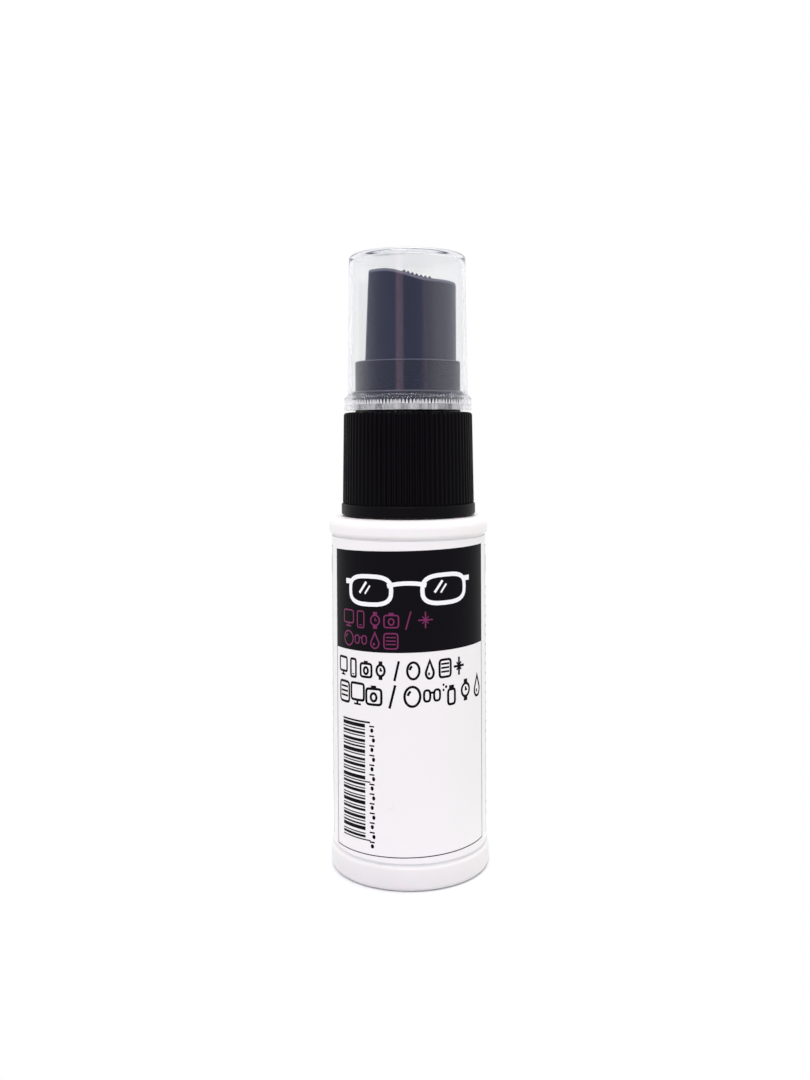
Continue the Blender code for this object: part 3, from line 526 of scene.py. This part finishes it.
def outline(height, inset, angle):
    """Radius of the flat-sided outline: the smaller of round wall and flat face, with a soft corner."""
    wall = BUTTON_R - inset
    face = (-flat_x(height) - inset) / np.maximum(-np.cos(angle), 1e-3)
    both = np.exp(-CORNER_SHARPNESS * wall) + np.exp(-CORNER_SHARPNESS * np.minimum(face, 4 * wall))
    return -np.log(both) / CORNER_SHARPNESS


def pad_base(x, y):
    """Height of the finger pad without its ribs: an S-shaped fall along x and a slight dish."""
    run = np.clip((x + 4.5) / 8.5, 0.0, 1.0)
    fall = PAD_FALL * run * run * (3 - 2 * run)
    dish = PAD_DISH * np.clip(1 - (x * x + y * y) / BUTTON_R**2, 0.0, 1.0)
    return BUTTON_TOP - fall - dish


def pad_ribs(x):
    """Height of the cross ribs over the pad: a rounded wave that fades out at both ends of its stretch."""
    share = np.clip((x + 1.1) / 0.5, 0, 1) * np.clip((4.4 - x) / 0.5, 0, 1)
    return share * PAD_RIB * (0.5 + 0.5 * np.sin(math.tau * x / PAD_PITCH)) ** 0.7


def button_grid():
    """Rings from the centre of the roof inside, down the inner wall, up the outer wall, over the pad."""
    angle = np.linspace(0, math.tau, COLUMNS, endpoint=False)
    rows = []

    def ring(z, inset, shrink=1.0, pad=None, rib=1.0):
        """One ring at height z or, with pad given, that far under the pad and its share of the ribs."""
        r = outline(np.asarray(z if pad is None else BUTTON_TOP, float), inset, angle) * shrink
        x, y = r * np.cos(angle), r * np.sin(angle)
        height = np.full(COLUMNS, float(z)) if pad is None else pad_base(x, y) + pad_ribs(x) * rib - pad
        rows.append(np.stack([x, y, height], axis=-1))

    for shrink in (0.0, 0.5, 0.97):
        ring(ROOF_Z, SHELL, shrink)
    for z, inset in ((ROOF_Z - 0.2, SHELL), (92.0, SHELL), (BUTTON_FOOT + 0.15, SHELL), (BUTTON_FOOT, 0.75),
                     (BUTTON_FOOT, 0.15), (BUTTON_FOOT + 0.15, 0.0)):
        ring(z, inset)
    for z in np.linspace(BUTTON_FOOT + 1, 101.0, 12):
        ring(z, 0.0)
    for drop in (0.75, 0.55, 0.45):
        ring(0, 0.0, pad=drop, rib=0.0)
    for turn in np.linspace(0, math.pi / 2, 9):
        inset, drop = EDGE_ROUND * (1 - math.cos(turn)), EDGE_ROUND * (1 - math.sin(turn))
        ring(0, inset, pad=drop, rib=math.sin(turn) ** 2)
    for shrink in np.linspace(1.0, 0.0, 90)[1:]:
        ring(0, EDGE_ROUND, shrink, pad=0.0)
    return np.stack(rows)


def carved(piece, joins=(), cuts=()):
    """Joins and cuts solids, keeps the result as plain mesh and takes the tools away."""
    for other, operation in [(o, "UNION") for o in joins] + [(o, "DIFFERENCE") for o in cuts]:
        modifier = piece.modifiers.new(other.name, "BOOLEAN")
        modifier.object = other
        modifier.operation = operation
    whole = bpy.data.meshes.new_from_object(piece.evaluated_get(bpy.context.evaluated_depsgraph_get()))
    piece.modifiers.clear()
    piece.data = whole
    for other in list(joins) + list(cuts):
        bpy.data.objects.remove(other, do_unlink=True)
    whole.set_sharp_from_angle(angle=SHARP_ANGLE)


def rod(name, radius, start, end, along_x=False, z=0.0, columns=48):
    """A solid bar about Z from start to end, or about a line along X at height z."""
    profile = section((0, start), (radius, start), (radius, end), (0, end))
    piece = turned(name, profile * MM, columns, wrap_rows=False)
    if along_x:
        points = np.array([v.co for v in piece.data.vertices])
        piece.data.vertices.foreach_set("co", (laid_along_x(points) + [0, 0, z * MM]).ravel())
    return piece


button = surface("button_shell", button_grid() * MM, wrap_rows=False)
face_x = flat_x(NOZZLE_Z)
carved(button,
       joins=[rod("post", 3.2, 87.15, 101.3), rod("boss", 3.5, face_x + 0.5, -1.8, True, NOZZLE_Z)],
       cuts=[rod("socket", 2.1, 86.0, 95.0), rod("riser", 0.75, 94.5, 99.2),
             rod("recess", 2.5, face_x - 3.0, face_x + 2.75, True, NOZZLE_Z)])
# Marks the rounded edge under the pad, where the painted highlight goes.
points = np.array([v.co for v in button.data.vertices]) / MM
below = pad_base(points[:, 0], points[:, 1]) - points[:, 2]
edge_highlight = button.data.attributes.new("edge_highlight", "FLOAT", "POINT")
highlighted = np.clip(below / HIGHLIGHT_START, 0, 1) * np.clip((HIGHLIGHT_END - below) / HIGHLIGHT_FADE, 0, 1)
edge_highlight.data.foreach_set("value", highlighted)
button.data.materials.append(BUTTON_PP)
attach(button, "button")
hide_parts("actuator")
print("button", len(button.data.polygons), "faces, flat at x", round(face_x, 2), "mm")

# %% [markdown]
# ## The nozzle insert
# A tiny cup is pressed into the flat. Swirl channels behind its face spin the liquid, which leaves
# through a 0.4 mm hole as a cone of mist. It is a turned piece about its own axis, laid along X.

# %% Nozzle insert
nozzle_section = section(
    arc(2.08, 0.12, 0.12, 0, -90, 4), arc(1.0, -0.02, 0.1, 90, 180, 4),
    (0.62, 0.25), (0.22, 0.42), (0.2, 0.72), (1.3, 0.72), (1.35, 2.3), (2.1, 2.3), (2.2, 2.2),
)
nozzle_grid = turned_grid(held(nozzle_section, 0.08, closed=True), 96)
nozzle = surface("nozzle_cup", (laid_along_x(nozzle_grid) + [face_x + 0.15, 0, NOZZLE_Z]) * MM)
nozzle.data.materials.append(BUTTON_PP)
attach(nozzle, "button")
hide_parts("nozzle_insert")
print("nozzle", len(nozzle.data.polygons), "faces")

# %% [markdown]
# ## The overcap
# The overcap is clear, thin and hard. Its wall tapers a little so that it leaves the mould, its lid has
# a rounded edge, and its foot flares out where it stands on the deck. Inside the flare a ledge with
# fine teeth grips the collar's bead. The ray tracer bends light a little through both faces of the
# wall, which draws the thin grey edge lines, and a coat gives it its gloss.

# %% Overcap
CAP_FOOT, CAP_TOP, CAP_ROOF = 80.1, 107.5, 106.7
TOOTH_DEPTH, TOOTH_COLUMNS = 0.06, 6
cap_section = section(
    (0.0, CAP_TOP - 0.02), (6.0, CAP_TOP - 0.02), arc(10.34 - 0.8, CAP_TOP - 0.8, 0.8, 88, 0, 12),
    (10.66, 83.6), arc(11.2, 82.95, 0.55, 180, 215, 4), arc(11.0, 82.05, 0.3, 60, 0, 5),
    arc(11.2, CAP_FOOT + 0.1, 0.1, 0, -90, 3), arc(9.85, CAP_FOOT + 0.1, 0.1, 270, 180, 3),
    (9.75, 82.0), arc(9.85, 82.1, 0.1, 180, 90, 3), (9.93, 82.4), (9.92, 83.0), (9.915, 83.5),
    arc(9.59 - 0.7, CAP_ROOF - 0.7, 0.7, 0, 90, 8), (5.0, CAP_ROOF), (0.0, CAP_ROOF),
)
cap_section = held(cap_section)
cap_r, cap_z = cap_section[:, :1], cap_section[:, 1:]


def between(z, low, high):
    """1 between low and high, fading over 0.2 mm above low and 0.4 mm below high."""
    return np.clip((z - low) / 0.2, 0, 1) * np.clip((high - z) / 0.4, 0, 1)


on_ledge = (cap_r < 10.0) * between(cap_z, 81.8, 83.4)
on_shoulder = 0.5 * (cap_r > 10.6) * between(cap_z, 82.0, 83.2)
cap_columns = CAP_TEETH * TOOTH_COLUMNS
teeth = TOOTH_DEPTH * (on_ledge + on_shoulder) * np.cos(CAP_TEETH * around(cap_columns))
overcap = surface("overcap_shell", turned_grid(cap_section, cap_columns, proud=teeth) * MM, wrap_rows=False)
overcap.data.materials.append(CLEAR_CAP)
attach(overcap, "overcap_body")
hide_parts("overcap")
print("overcap", len(overcap.data.polygons), "faces")

# %% [markdown]
# ## The label
# The label is a thin film wrapped nearly all the way round, and its ends leave a narrow gap at the
# back. Labels are rolled on by machine, and this one went on a little crooked, so its print climbs to
# the right. The print is laid out flat, in millimetres along the film (u) and up it (v), then each
# patch of ink is rolled onto the cylinder a hundredth of a millimetre above what is under it.

# %% Label film
FILM_R, FILM_LOW, FILM_HIGH, FILM_GAP = 13.62, 4.62, 58.18, 3.0
PRINT_SLOPE, INK_THICKNESS, PATCH_WIDTH = math.tan(math.radians(1.33)), 0.012, 0.4


def rolled(u, v, r):
    """Points of the film at u along it and v up it, at radius r; u is 0 at the front."""
    turn = u / FILM_R
    return np.stack([r * np.sin(turn), -r * np.cos(turn), v], axis=-1)


half_film = (math.tau * FILM_R - FILM_GAP) / 2
along = np.linspace(-half_film, half_film, 241)[:, None]
rim = section(
    (FILM_R - 0.18, FILM_LOW), (FILM_R - 0.03, FILM_LOW), (FILM_R, FILM_LOW + 0.03),
    (FILM_R, FILM_LOW + 0.2), (FILM_R, FILM_HIGH - 0.2),
    (FILM_R, FILM_HIGH - 0.03), (FILM_R - 0.03, FILM_HIGH), (FILM_R - 0.18, FILM_HIGH),
)
film_grid = rolled(along, rim[None, :, 1] + 0 * along, rim[None, :, 0])
label_film = surface("label_skin", capped(film_grid) * MM, wrap_rows=False)
label_film.data.materials.append(WHITE_FILM)
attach(label_film, "bottle_body")
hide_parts("label")
print("film", round(2 * half_film, 1), "mm long")

# %% [markdown]
# ## Print shapes
# Everything printed is made of small four-sided patches: filled bars, strokes along a line, and
# closed outlines. The pictures are plain signs for what the liquid cleans, such as a screen, a phone
# and spectacles. The block of bars at the side is decoration and encodes nothing.

# %% Print shapes
def bar(u0, u1, v0, v1):
    """A filled bar."""
    return np.array([[(u0, v0), (u1, v0), (u1, v1), (u0, v1)]], float)


def stroke(points, width, closed=False):
    """A line of even width through the points, with mitred corners."""
    points = np.asarray(points, float)
    ahead, back = np.roll(points, -1, axis=0) - points, points - np.roll(points, 1, axis=0)
    if not closed:
        ahead[-1], back[0] = back[-1], ahead[0]
    sides = [np.stack([-d[:, 1], d[:, 0]], axis=1) / np.linalg.norm(d, axis=1, keepdims=True)
             for d in (ahead, back)]
    mitre = sides[0] + sides[1]
    mitre *= width / np.maximum((mitre**2).sum(axis=1, keepdims=True), 0.6)
    left, right = points + mitre, points - mitre
    if closed:
        left, right = np.concatenate([left, left[:1]]), np.concatenate([right, right[:1]])
    return np.stack([right[:-1], right[1:], left[1:], left[:-1]], axis=1)


def loop(u, v, ru, rv, width, squareness=2.0, steps=28):
    """A closed outline between an ellipse (squareness 2) and a box."""
    turn = np.linspace(0, math.tau, steps, endpoint=False)
    c, s = np.cos(turn), np.sin(turn)
    across = ru * np.sign(c) * np.abs(c) ** (2 / squareness)
    upward = rv * np.sign(s) * np.abs(s) ** (2 / squareness)
    return stroke(np.stack([u + across, v + upward], axis=1), width, closed=True)


def dot(u, v, ru, rv):
    """A filled ellipse, drawn as a wide outline of half its size."""
    return loop(u, v, ru / 2, rv / 2, min(ru, rv) * 1.02, steps=16)


def spectacles(u, v, w, h, line):
    """Two lenses, a bridge and the tips of the arms."""
    turn = np.linspace(0.25 * math.pi, 0.75 * math.pi, 8)
    bridge = np.stack([u + 0.14 * w * np.cos(turn) * 1.4, v - 0.06 * h + 0.28 * h * np.sin(turn)], axis=1)
    parts = [loop(u + s * 0.28 * w, v, 0.17 * w, 0.42 * h, line, 3.0) for s in (-1, 1)]
    arms = [stroke([(u + s * 0.44 * w, v + 0.24 * h), (u + s * 0.5 * w, v + 0.24 * h)], line * 1.2)
            for s in (-1, 1)]
    return parts + arms + [stroke(bridge, line)]


def spectacles_sign(u, v, w, h, line):
    """Spectacles small enough to stand in a row of signs."""
    return spectacles(u, v, w, 0.56 * h, line * 0.9)


def screen(u, v, w, h, line):
    """A monitor on its stand."""
    return [loop(u, v + 0.1 * h, 0.46 * w, 0.36 * h, line, 8.0),
            bar(u - 0.25 * w, u + 0.25 * w, v - 0.48 * h, v - 0.4 * h),
            bar(u - line / 2, u + line / 2, v - 0.42 * h, v - 0.26 * h)]


def phone(u, v, w, h, line):
    """An upright phone."""
    return [loop(u, v, 0.26 * w, 0.46 * h, line, 7.0),
            bar(u - 0.1 * w, u + 0.1 * w, v - 0.34 * h, v - 0.28 * h)]


def lens(u, v, w, h, line):
    """A round lens with a glint."""
    glint = np.radians(np.linspace(110, 170, 7))
    shine = np.stack([u + 0.24 * w * np.cos(glint), v + 0.24 * h * np.sin(glint)], axis=1)
    return [loop(u, v, 0.42 * w, 0.42 * h, line), stroke(shine, line)]


def droplet(u, v, w, h, line):
    """A drop with a spot in it."""
    turn = np.linspace(0.2, -1.2, 22) * math.pi
    belly = np.stack([u + 0.28 * w * np.cos(turn), v - 0.16 * h + 0.28 * h * np.sin(turn)], axis=1)
    return [stroke(np.vstack([belly, [(u, v + 0.46 * h)]]), line, closed=True),
            dot(u - 0.06 * w, v - 0.2 * h, 0.07 * w, 0.1 * h)]


def sparkle(u, v, w, h, line):
    """A star of four long rays and four short ones."""
    return [stroke([(u, v + 0.46 * h), (u, v - 0.46 * h)], line),
            stroke([(u - 0.46 * w, v), (u + 0.46 * w, v)], line),
            stroke([(u - 0.2 * w, v + 0.2 * h), (u + 0.2 * w, v - 0.2 * h)], line * 0.7),
            stroke([(u - 0.2 * w, v - 0.2 * h), (u + 0.2 * w, v + 0.2 * h)], line * 0.7)]


def cloth(u, v, w, h, line):
    """A square cloth with three folds."""
    return [loop(u, v, 0.44 * w, 0.44 * h, line, 6.0)] + [
        bar(u - 0.32 * w, u + 0.32 * w, v + k * h, v + k * h + line * 0.8) for k in (-0.22, -0.02, 0.18)]


def sprayer(u, v, w, h, line):
    """A spray bottle and three drops."""
    return [loop(u + 0.08 * w, v - 0.16 * h, 0.22 * w, 0.32 * h, line, 5.0),
            bar(u - 0.08 * w, u + 0.24 * w, v + 0.2 * h, v + 0.34 * h),
            dot(u - 0.26 * w, v + 0.3 * h, 0.07 * w, 0.07 * h),
            dot(u - 0.42 * w, v + 0.4 * h, 0.06 * w, 0.06 * h),
            dot(u - 0.42 * w, v + 0.18 * h, 0.06 * w, 0.06 * h)]


def camera_sign(u, v, w, h, line):
    """A camera seen from the front."""
    return [loop(u, v - 0.04 * h, 0.46 * w, 0.34 * h, line, 6.0),
            loop(u, v - 0.06 * h, 0.17 * w, 0.17 * h, line),
            bar(u - 0.16 * w, u + 0.16 * w, v + 0.32 * h, v + 0.44 * h)]


def watch(u, v, w, h, line):
    """A wrist watch with a piece of its strap at both ends."""
    return [loop(u, v, 0.3 * w, 0.28 * h, line),
            bar(u - 0.14 * w, u + 0.14 * w, v + 0.3 * h, v + 0.47 * h),
            bar(u - 0.14 * w, u + 0.14 * w, v - 0.47 * h, v - 0.3 * h),
            stroke([(u, v + 0.14 * h), (u, v), (u + 0.12 * w, v)], line * 0.8)]


def slash(u, v, w, h, line):
    """A leaning stroke between two signs."""
    return [stroke([(u - 0.16 * w, v - 0.5 * h), (u + 0.16 * w, v + 0.5 * h)], line)]


def signs(kinds, u0, u1, v, width, height, line):
    """A row of signs spaced evenly from u0 to u1."""
    places = np.linspace(u0 + width / 2, u1 - width / 2, len(kinds))
    return [patch for kind, u in zip(kinds, places) for patch in kind(u, v, width, height, line)]


def print_line(u0, u1, v, height, seed):
    """A row of plain bars as long as words, standing for print too fine to read."""
    rng = np.random.default_rng(seed)
    gap = 0.9 * height
    lengths = rng.uniform(1.5, 6.0, 60) * height
    ends = u0 + np.cumsum(lengths + gap)
    count = max(1, int(np.searchsorted(ends, u1)))
    return [bar(end - gap - length, end - gap, v, v + height) for end, length in zip(ends[:count], lengths)]


def ink(name, patches, layer, material, slope=PRINT_SLOPE):
    """Rolls the patches onto the film as one piece of ink; each layer lies on the one before."""
    quads = np.concatenate([np.asarray(patch) for patch in patches])
    while (wide := np.ptp(quads[..., 0], axis=1) > PATCH_WIDTH).any():
        broad = quads[wide]
        side = np.abs(np.diff(broad[..., 0], axis=1))
        broad[side[:, 0] < side[:, 1]] = np.roll(broad[side[:, 0] < side[:, 1]], 1, axis=1)
        p0, p1, p2, p3 = np.moveaxis(broad, 1, 0)
        low, high = (p0 + p1) / 2, (p3 + p2) / 2
        halves = [np.stack([p0, low, high, p3], axis=1), np.stack([low, p1, p2, high], axis=1)]
        quads = np.concatenate([quads[~wide], *halves])
    lift = FILM_R + INK_THICKNESS * layer
    u, v = quads[..., 0], quads[..., 1] + quads[..., 0] * slope
    v = np.clip(v, FILM_LOW + 0.1, FILM_HIGH - 0.1)
    facing = np.cross(quads[:, 1] - quads[:, 0], quads[:, 2] - quads[:, 0])
    order = np.where(facing[:, None] > 0, np.arange(4), np.arange(3, -1, -1))
    corners = np.take_along_axis(rolled(u, v, lift), order[..., None], axis=1)
    mesh = bpy.data.meshes.new(name)
    mesh.from_pydata(corners.reshape(-1, 3) * MM, [], np.arange(corners[..., 0].size).reshape(-1, 4))
    mesh.materials.append(material)
    piece = bpy.data.objects.new(name, mesh)
    scene.collection.objects.link(piece)
    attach(piece, "bottle_body")
    print(name, len(quads), "patches")


# %% [markdown]
# ## Printing the label
# The layout follows the real label: a black panel with a large white sign and two lines of magenta
# print, two lines of black signs under it, the block of bars turned on its side, and a fine frame.

# %% Front print
LEFT, RIGHT, FRAME_LOW, PANEL_LOW = -15.6, 15.85, 5.7, 39.8
TITLE_U, TITLE_V, TITLE_W, TITLE_H = -0.35, 50.1, 23.6, 5.6
BAR_WIDTHS = (0.2, 0.42, 0.2, 0.62, 0.3, 0.2, 0.5)
BAR_GAPS = (0.24, 0.2, 0.42, 0.2, 0.3)

ink("black_panel", [bar(LEFT, RIGHT, PANEL_LOW, 56.67)], 1, BLACK_INK)
title = spectacles(TITLE_U, TITLE_V, TITLE_W, TITLE_H, 0.72)
for side in (-1, 1):
    lens_u = TITLE_U + side * 0.28 * TITLE_W
    title.append(stroke([(lens_u - 1.9, 49.6), (lens_u - 0.5, 51.5)], 0.42))
    title.append(stroke([(lens_u - 0.8, 49.5), (lens_u + 0.2, 50.9)], 0.3))
ink("white_sign", title, 2, WHITE_INK)
magenta = signs([screen, phone, watch, camera_sign, slash, sparkle], -12.9, 4.1, 45.15, 2.7, 3.0, 0.24)
magenta += signs([lens, spectacles_sign, droplet, cloth], -12.9, -1.7, 41.75, 2.7, 2.9, 0.24)
ink("magenta_print", magenta, 2, MAGENTA_INK)
first = [screen, phone, camera_sign, watch, slash, lens, droplet, cloth, sparkle]
second = [cloth, screen, camera_sign, slash, lens, spectacles_sign, sprayer, watch, droplet]
black = signs(first, -14.4, 10.2, 36.8, 2.4, 3.3, 0.4) + signs(second, -14.4, 15.4, 32.5, 3.1, 3.9, 0.42)
bar_v, steps = 8.0, 0
while bar_v < 27.9:
    thick = BAR_WIDTHS[steps % 7]
    guard = steps % 16 == 0
    black.append(bar(-13.3, -6.9 if guard else -7.9, bar_v, bar_v + thick))
    bar_v += thick + BAR_GAPS[steps % 5]
    steps += 1
for k in range(13):
    rise = 1.62 * k
    black.append(dot(-6.55 + 0.3 * (k % 2), 7.2 + rise, 0.3, 0.42))
    black.append(bar(-7.05, -6.1, 7.75 + rise, 8.0 + rise))
black += [bar(u, u + 0.15, FRAME_LOW, PANEL_LOW + 0.1) for u in (LEFT, RIGHT - 0.15)]
black.append(bar(LEFT, RIGHT, FRAME_LOW - 0.08, FRAME_LOW + 0.08))
ink("black_print", black, 1, BLACK_INK)

# %% [markdown]
# The back carries the small print: two frames with rows too fine to read, drawn as plain bars, and a
# row of signs under them.

# %% Back print
INNER, OUTER, BACK_ROWS = 18.6, 41.2, 17
BACK_TOP, ROW_STEP, ROW_HEIGHT = 48.7, 1.7, 0.42

back = []
for side in (-1, 1):
    for row in range(BACK_ROWS):
        low, high = sorted((side * INNER, side * (OUTER - 1.2 * (row % 3))))
        seed = 20 + row + 40 * (side > 0)
        back += print_line(low + 0.8, high - 0.6, BACK_TOP - ROW_STEP * row, ROW_HEIGHT, seed)
    low, high = sorted((side * INNER, side * OUTER))
    back += [bar(low, low + 0.12, 5.9, 56.4), bar(high - 0.12, high, 5.9, 56.4)]
    back += [bar(low, high, 5.84, 5.96), bar(low, high, 56.34, 56.46), bar(low + 0.8, high - 0.8, 51.6, 54.6)]
    back += signs([droplet, cloth, sprayer, sparkle], low + 1.2, high - 1.2, 16.0, 3.2, 3.2, 0.3)
    back += print_line(low + 0.8, high - 3.0, 10.6, 0.5, 90 + side)
    back += print_line(low + 0.8, high - 6.0, 8.6, 0.5, 95 + side)
ink("back_print", back, 1, BLACK_INK, slope=0.0)

# %% [markdown]
# ## The return spring
# Eight turns of 0.5 mm wire push the plunger back up. The first and last turns close up so that the
# spring stands straight. The wire is a tube carried along a helix. The spring shortens as the plunger
# goes down; here it is built at the length of the CAD spring.

# %% Return spring
spring_box = np.array(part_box("return_spring"))
SPRING_LOW, SPRING_HIGH = spring_box[:, 2] / MM
WIRE, COIL_R, TURNS, DEAD_PITCH = 0.25, 2.1, 8, 0.6
turns = np.linspace(0, TURNS, TURNS * 48 + 1)[:, None]
closed_part = np.minimum(turns, 1.0) + np.maximum(turns - (TURNS - 1), 0.0)
open_pitch = (SPRING_HIGH - SPRING_LOW - 2 * WIRE - 2 * DEAD_PITCH) / (TURNS - 2)
height = SPRING_LOW + WIRE + DEAD_PITCH * closed_part + open_pitch * (turns - closed_part)
wire_turn = around(16)
end_taper = np.clip(np.minimum(turns, TURNS - turns) * 40, 0.0, 1.0)
wire_r = COIL_R + WIRE * end_taper * np.cos(wire_turn)
wire_z = height + WIRE * end_taper * np.sin(wire_turn)
coil = np.stack([wire_r * np.cos(math.tau * turns), wire_r * np.sin(math.tau * turns), wire_z], axis=-1)
spring = surface("spring_wire", coil * MM, wrap_rows=False)
spring.data.materials.append(SPRING_STEEL)
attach(spring, "pump")
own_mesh(spring)
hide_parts("return_spring")
print("spring", round(SPRING_LOW, 2), "to", round(SPRING_HIGH, 2), "mm")

# %% [markdown]
# ## The pump's inner pieces
# These are plain turned mouldings, so the CAD shapes are already right. Each gets its own plastic:
# cloudy polypropylene for the pump and stem, softer polyethylene for the piston and the tube, a foam
# gasket, and a steel ball.

# %% Materials of the inner pieces
inner_finish = {
    "pump_housing": NATURAL_PP, "stem_guide": NATURAL_PP, "stem": NATURAL_PP, "valve_rod": NATURAL_PP,
    "piston": PISTON_PE, "dip_tube": TUBE_PE, "neck_gasket": SEAL_FOAM, "inlet_ball": BALL_STEEL,
}
for name, material in inner_finish.items():
    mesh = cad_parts[name].data
    mesh.materials.clear()
    mesh.materials.append(material)
print(len(inner_finish), "inner pieces finished")

# %% [markdown]
# ## The floor
# A pale floor fades to bare white away from the object, with only a soft shadow at the foot.

# %% Floor
SHADOW_REACH, WHITE_FROM = 15 * MM, 55 * MM
floor = turned("floor", section((0, 0), (60, 0), (300, 0), (4000, 0)) * MM, 96, wrap_rows=False)
floor_material = bpy.data.materials.new("pale floor")
floor_material.use_nodes = True
tree = floor_material.node_tree
paint = tree.nodes["Principled BSDF"]
set_inputs(tree, paint, Base_Color=(0.86, 0.86, 0.86, 1.0), Roughness=0.6, Specular_IOR_Level=0.1)
glow = node(tree, "ShaderNodeEmission", Color=(1.0, 1.0, 1.0, 1.0), Strength=1.0)
distance = tree.nodes.new("ShaderNodeVectorMath")
distance.operation = "LENGTH"
set_inputs(tree, distance, Vector=tree.nodes.new("ShaderNodeTexCoord").outputs["Object"])
fade = remap(tree, distance.outputs["Value"], smooth=True, From_Min=SHADOW_REACH, From_Max=WHITE_FROM)
blend = tree.nodes.new("ShaderNodeMixShader")
for socket, value in zip(blend.inputs, (fade, paint.outputs[0], glow.outputs[0])):
    set_input(tree, socket, value)
tree.links.new(blend.outputs[0], tree.nodes["Material Output"].inputs["Surface"])
floor.data.materials.append(floor_material)
floor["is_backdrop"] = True
print("floor is white from", WHITE_FROM / MM, "mm")

# %% [markdown]
# ## The room
# White surroundings behind and to the sides light the bottle and draw pale edges on the black pieces.
# The front is darker and a little blue, so black stays black, with one bright upright band and one
# faint band for the button to mirror. Only light that has bounced off a surface meets that darker
# front: seen straight on or through the clear overcap, the room is white all round.

# %% Room
SIDE_LEAN = 0.3
FRONT_TONE = (0.33, 0.36, 0.48, 1.0)
BAND_TONES = (
    (0.29, (0.26, 0.3, 0.42, 1)), (0.33, (1.2, 0.82, 1.02, 1)), (0.41, (0.95, 0.68, 0.88, 1)),
    (0.45, (0.2, 0.25, 0.36, 1)), (0.74, (0.26, 0.28, 0.42, 1)), (0.78, (0.7, 0.56, 0.74, 1)),
    (0.83, (0.34, 0.35, 0.46, 1)),
)
world = bpy.data.worlds.new("white room")
scene.world = world
world.use_nodes = True
tree = world.node_tree
direction = tree.nodes.new("ShaderNodeTexCoord").outputs["Generated"]
split = node(tree, "ShaderNodeSeparateXYZ", Vector=direction).outputs
lean = math_node(tree, "MULTIPLY_ADD", split["X"], SIDE_LEAN, split["Y"])
away_from_front = remap(tree, lean, smooth=True, From_Min=-0.88, From_Max=-0.1)
bands = node(tree, "ShaderNodeValToRGB", Fac=remap(tree, split["X"], From_Min=-1.0, From_Max=1.0))
stops = bands.color_ramp.elements
for stop, spot in zip(stops, (0.1, 0.9)):
    stop.position = spot
    stop.color = FRONT_TONE
for spot, tone in BAND_TONES:
    stops.new(spot).color = tone
path = tree.nodes.new("ShaderNodeLightPath").outputs
bounced = math_node(tree, "MAXIMUM", path["Is Glossy Ray"], path["Is Diffuse Ray"])
direct = math_node(tree, "SUBTRACT", 1.0, bounced)
white_share = math_node(tree, "MAXIMUM", away_from_front, direct)
room = mix_colour(tree, white_share, bands.outputs["Color"], (1.0, 1.0, 1.0, 1.0))
tree.links.new(room, tree.nodes["Background"].inputs["Color"])
print(world.name, "with", len(BAND_TONES) + 2, "stops across its front")

# %% [markdown]
# ## Lamps
# A large soft light above the camera fills the front and another lights the top from behind. A small
# bright lamp puts the sparkle on sharp edges.

# %% Lamps
AIM = np.array([0.0, 0.0, 55.0])


def softbox(name, place_mm, size_mm, power):
    """A square area light at place_mm that looks at the middle of the bottle."""
    data = bpy.data.lights.new(name, "AREA")
    data.energy = power
    data.size = size_mm * MM
    lamp = bpy.data.objects.new(name, data)
    scene.collection.objects.link(lamp)
    lamp.location = [v * MM for v in place_mm]
    x, y, z = AIM - np.array(place_mm)
    lamp.rotation_euler = (math.atan2(math.hypot(x, y), -z), 0.0, math.atan2(y, x) - math.pi / 2)
    lamp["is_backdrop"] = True


softbox("front softbox", (-120, -420, 640), 420, 2.6)
softbox("top softbox", (60, 80, 620), 300, 1.0)
softbox("small bright lamp", (70, -330, 620), 40, 0.13)
scene.view_settings.view_transform = "Standard"

# %% [markdown]
# ## The size
# The visual pieces should fill the same box as the CAD pieces. Here the box round the visual pieces is
# measured.

# %% Size
low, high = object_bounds()
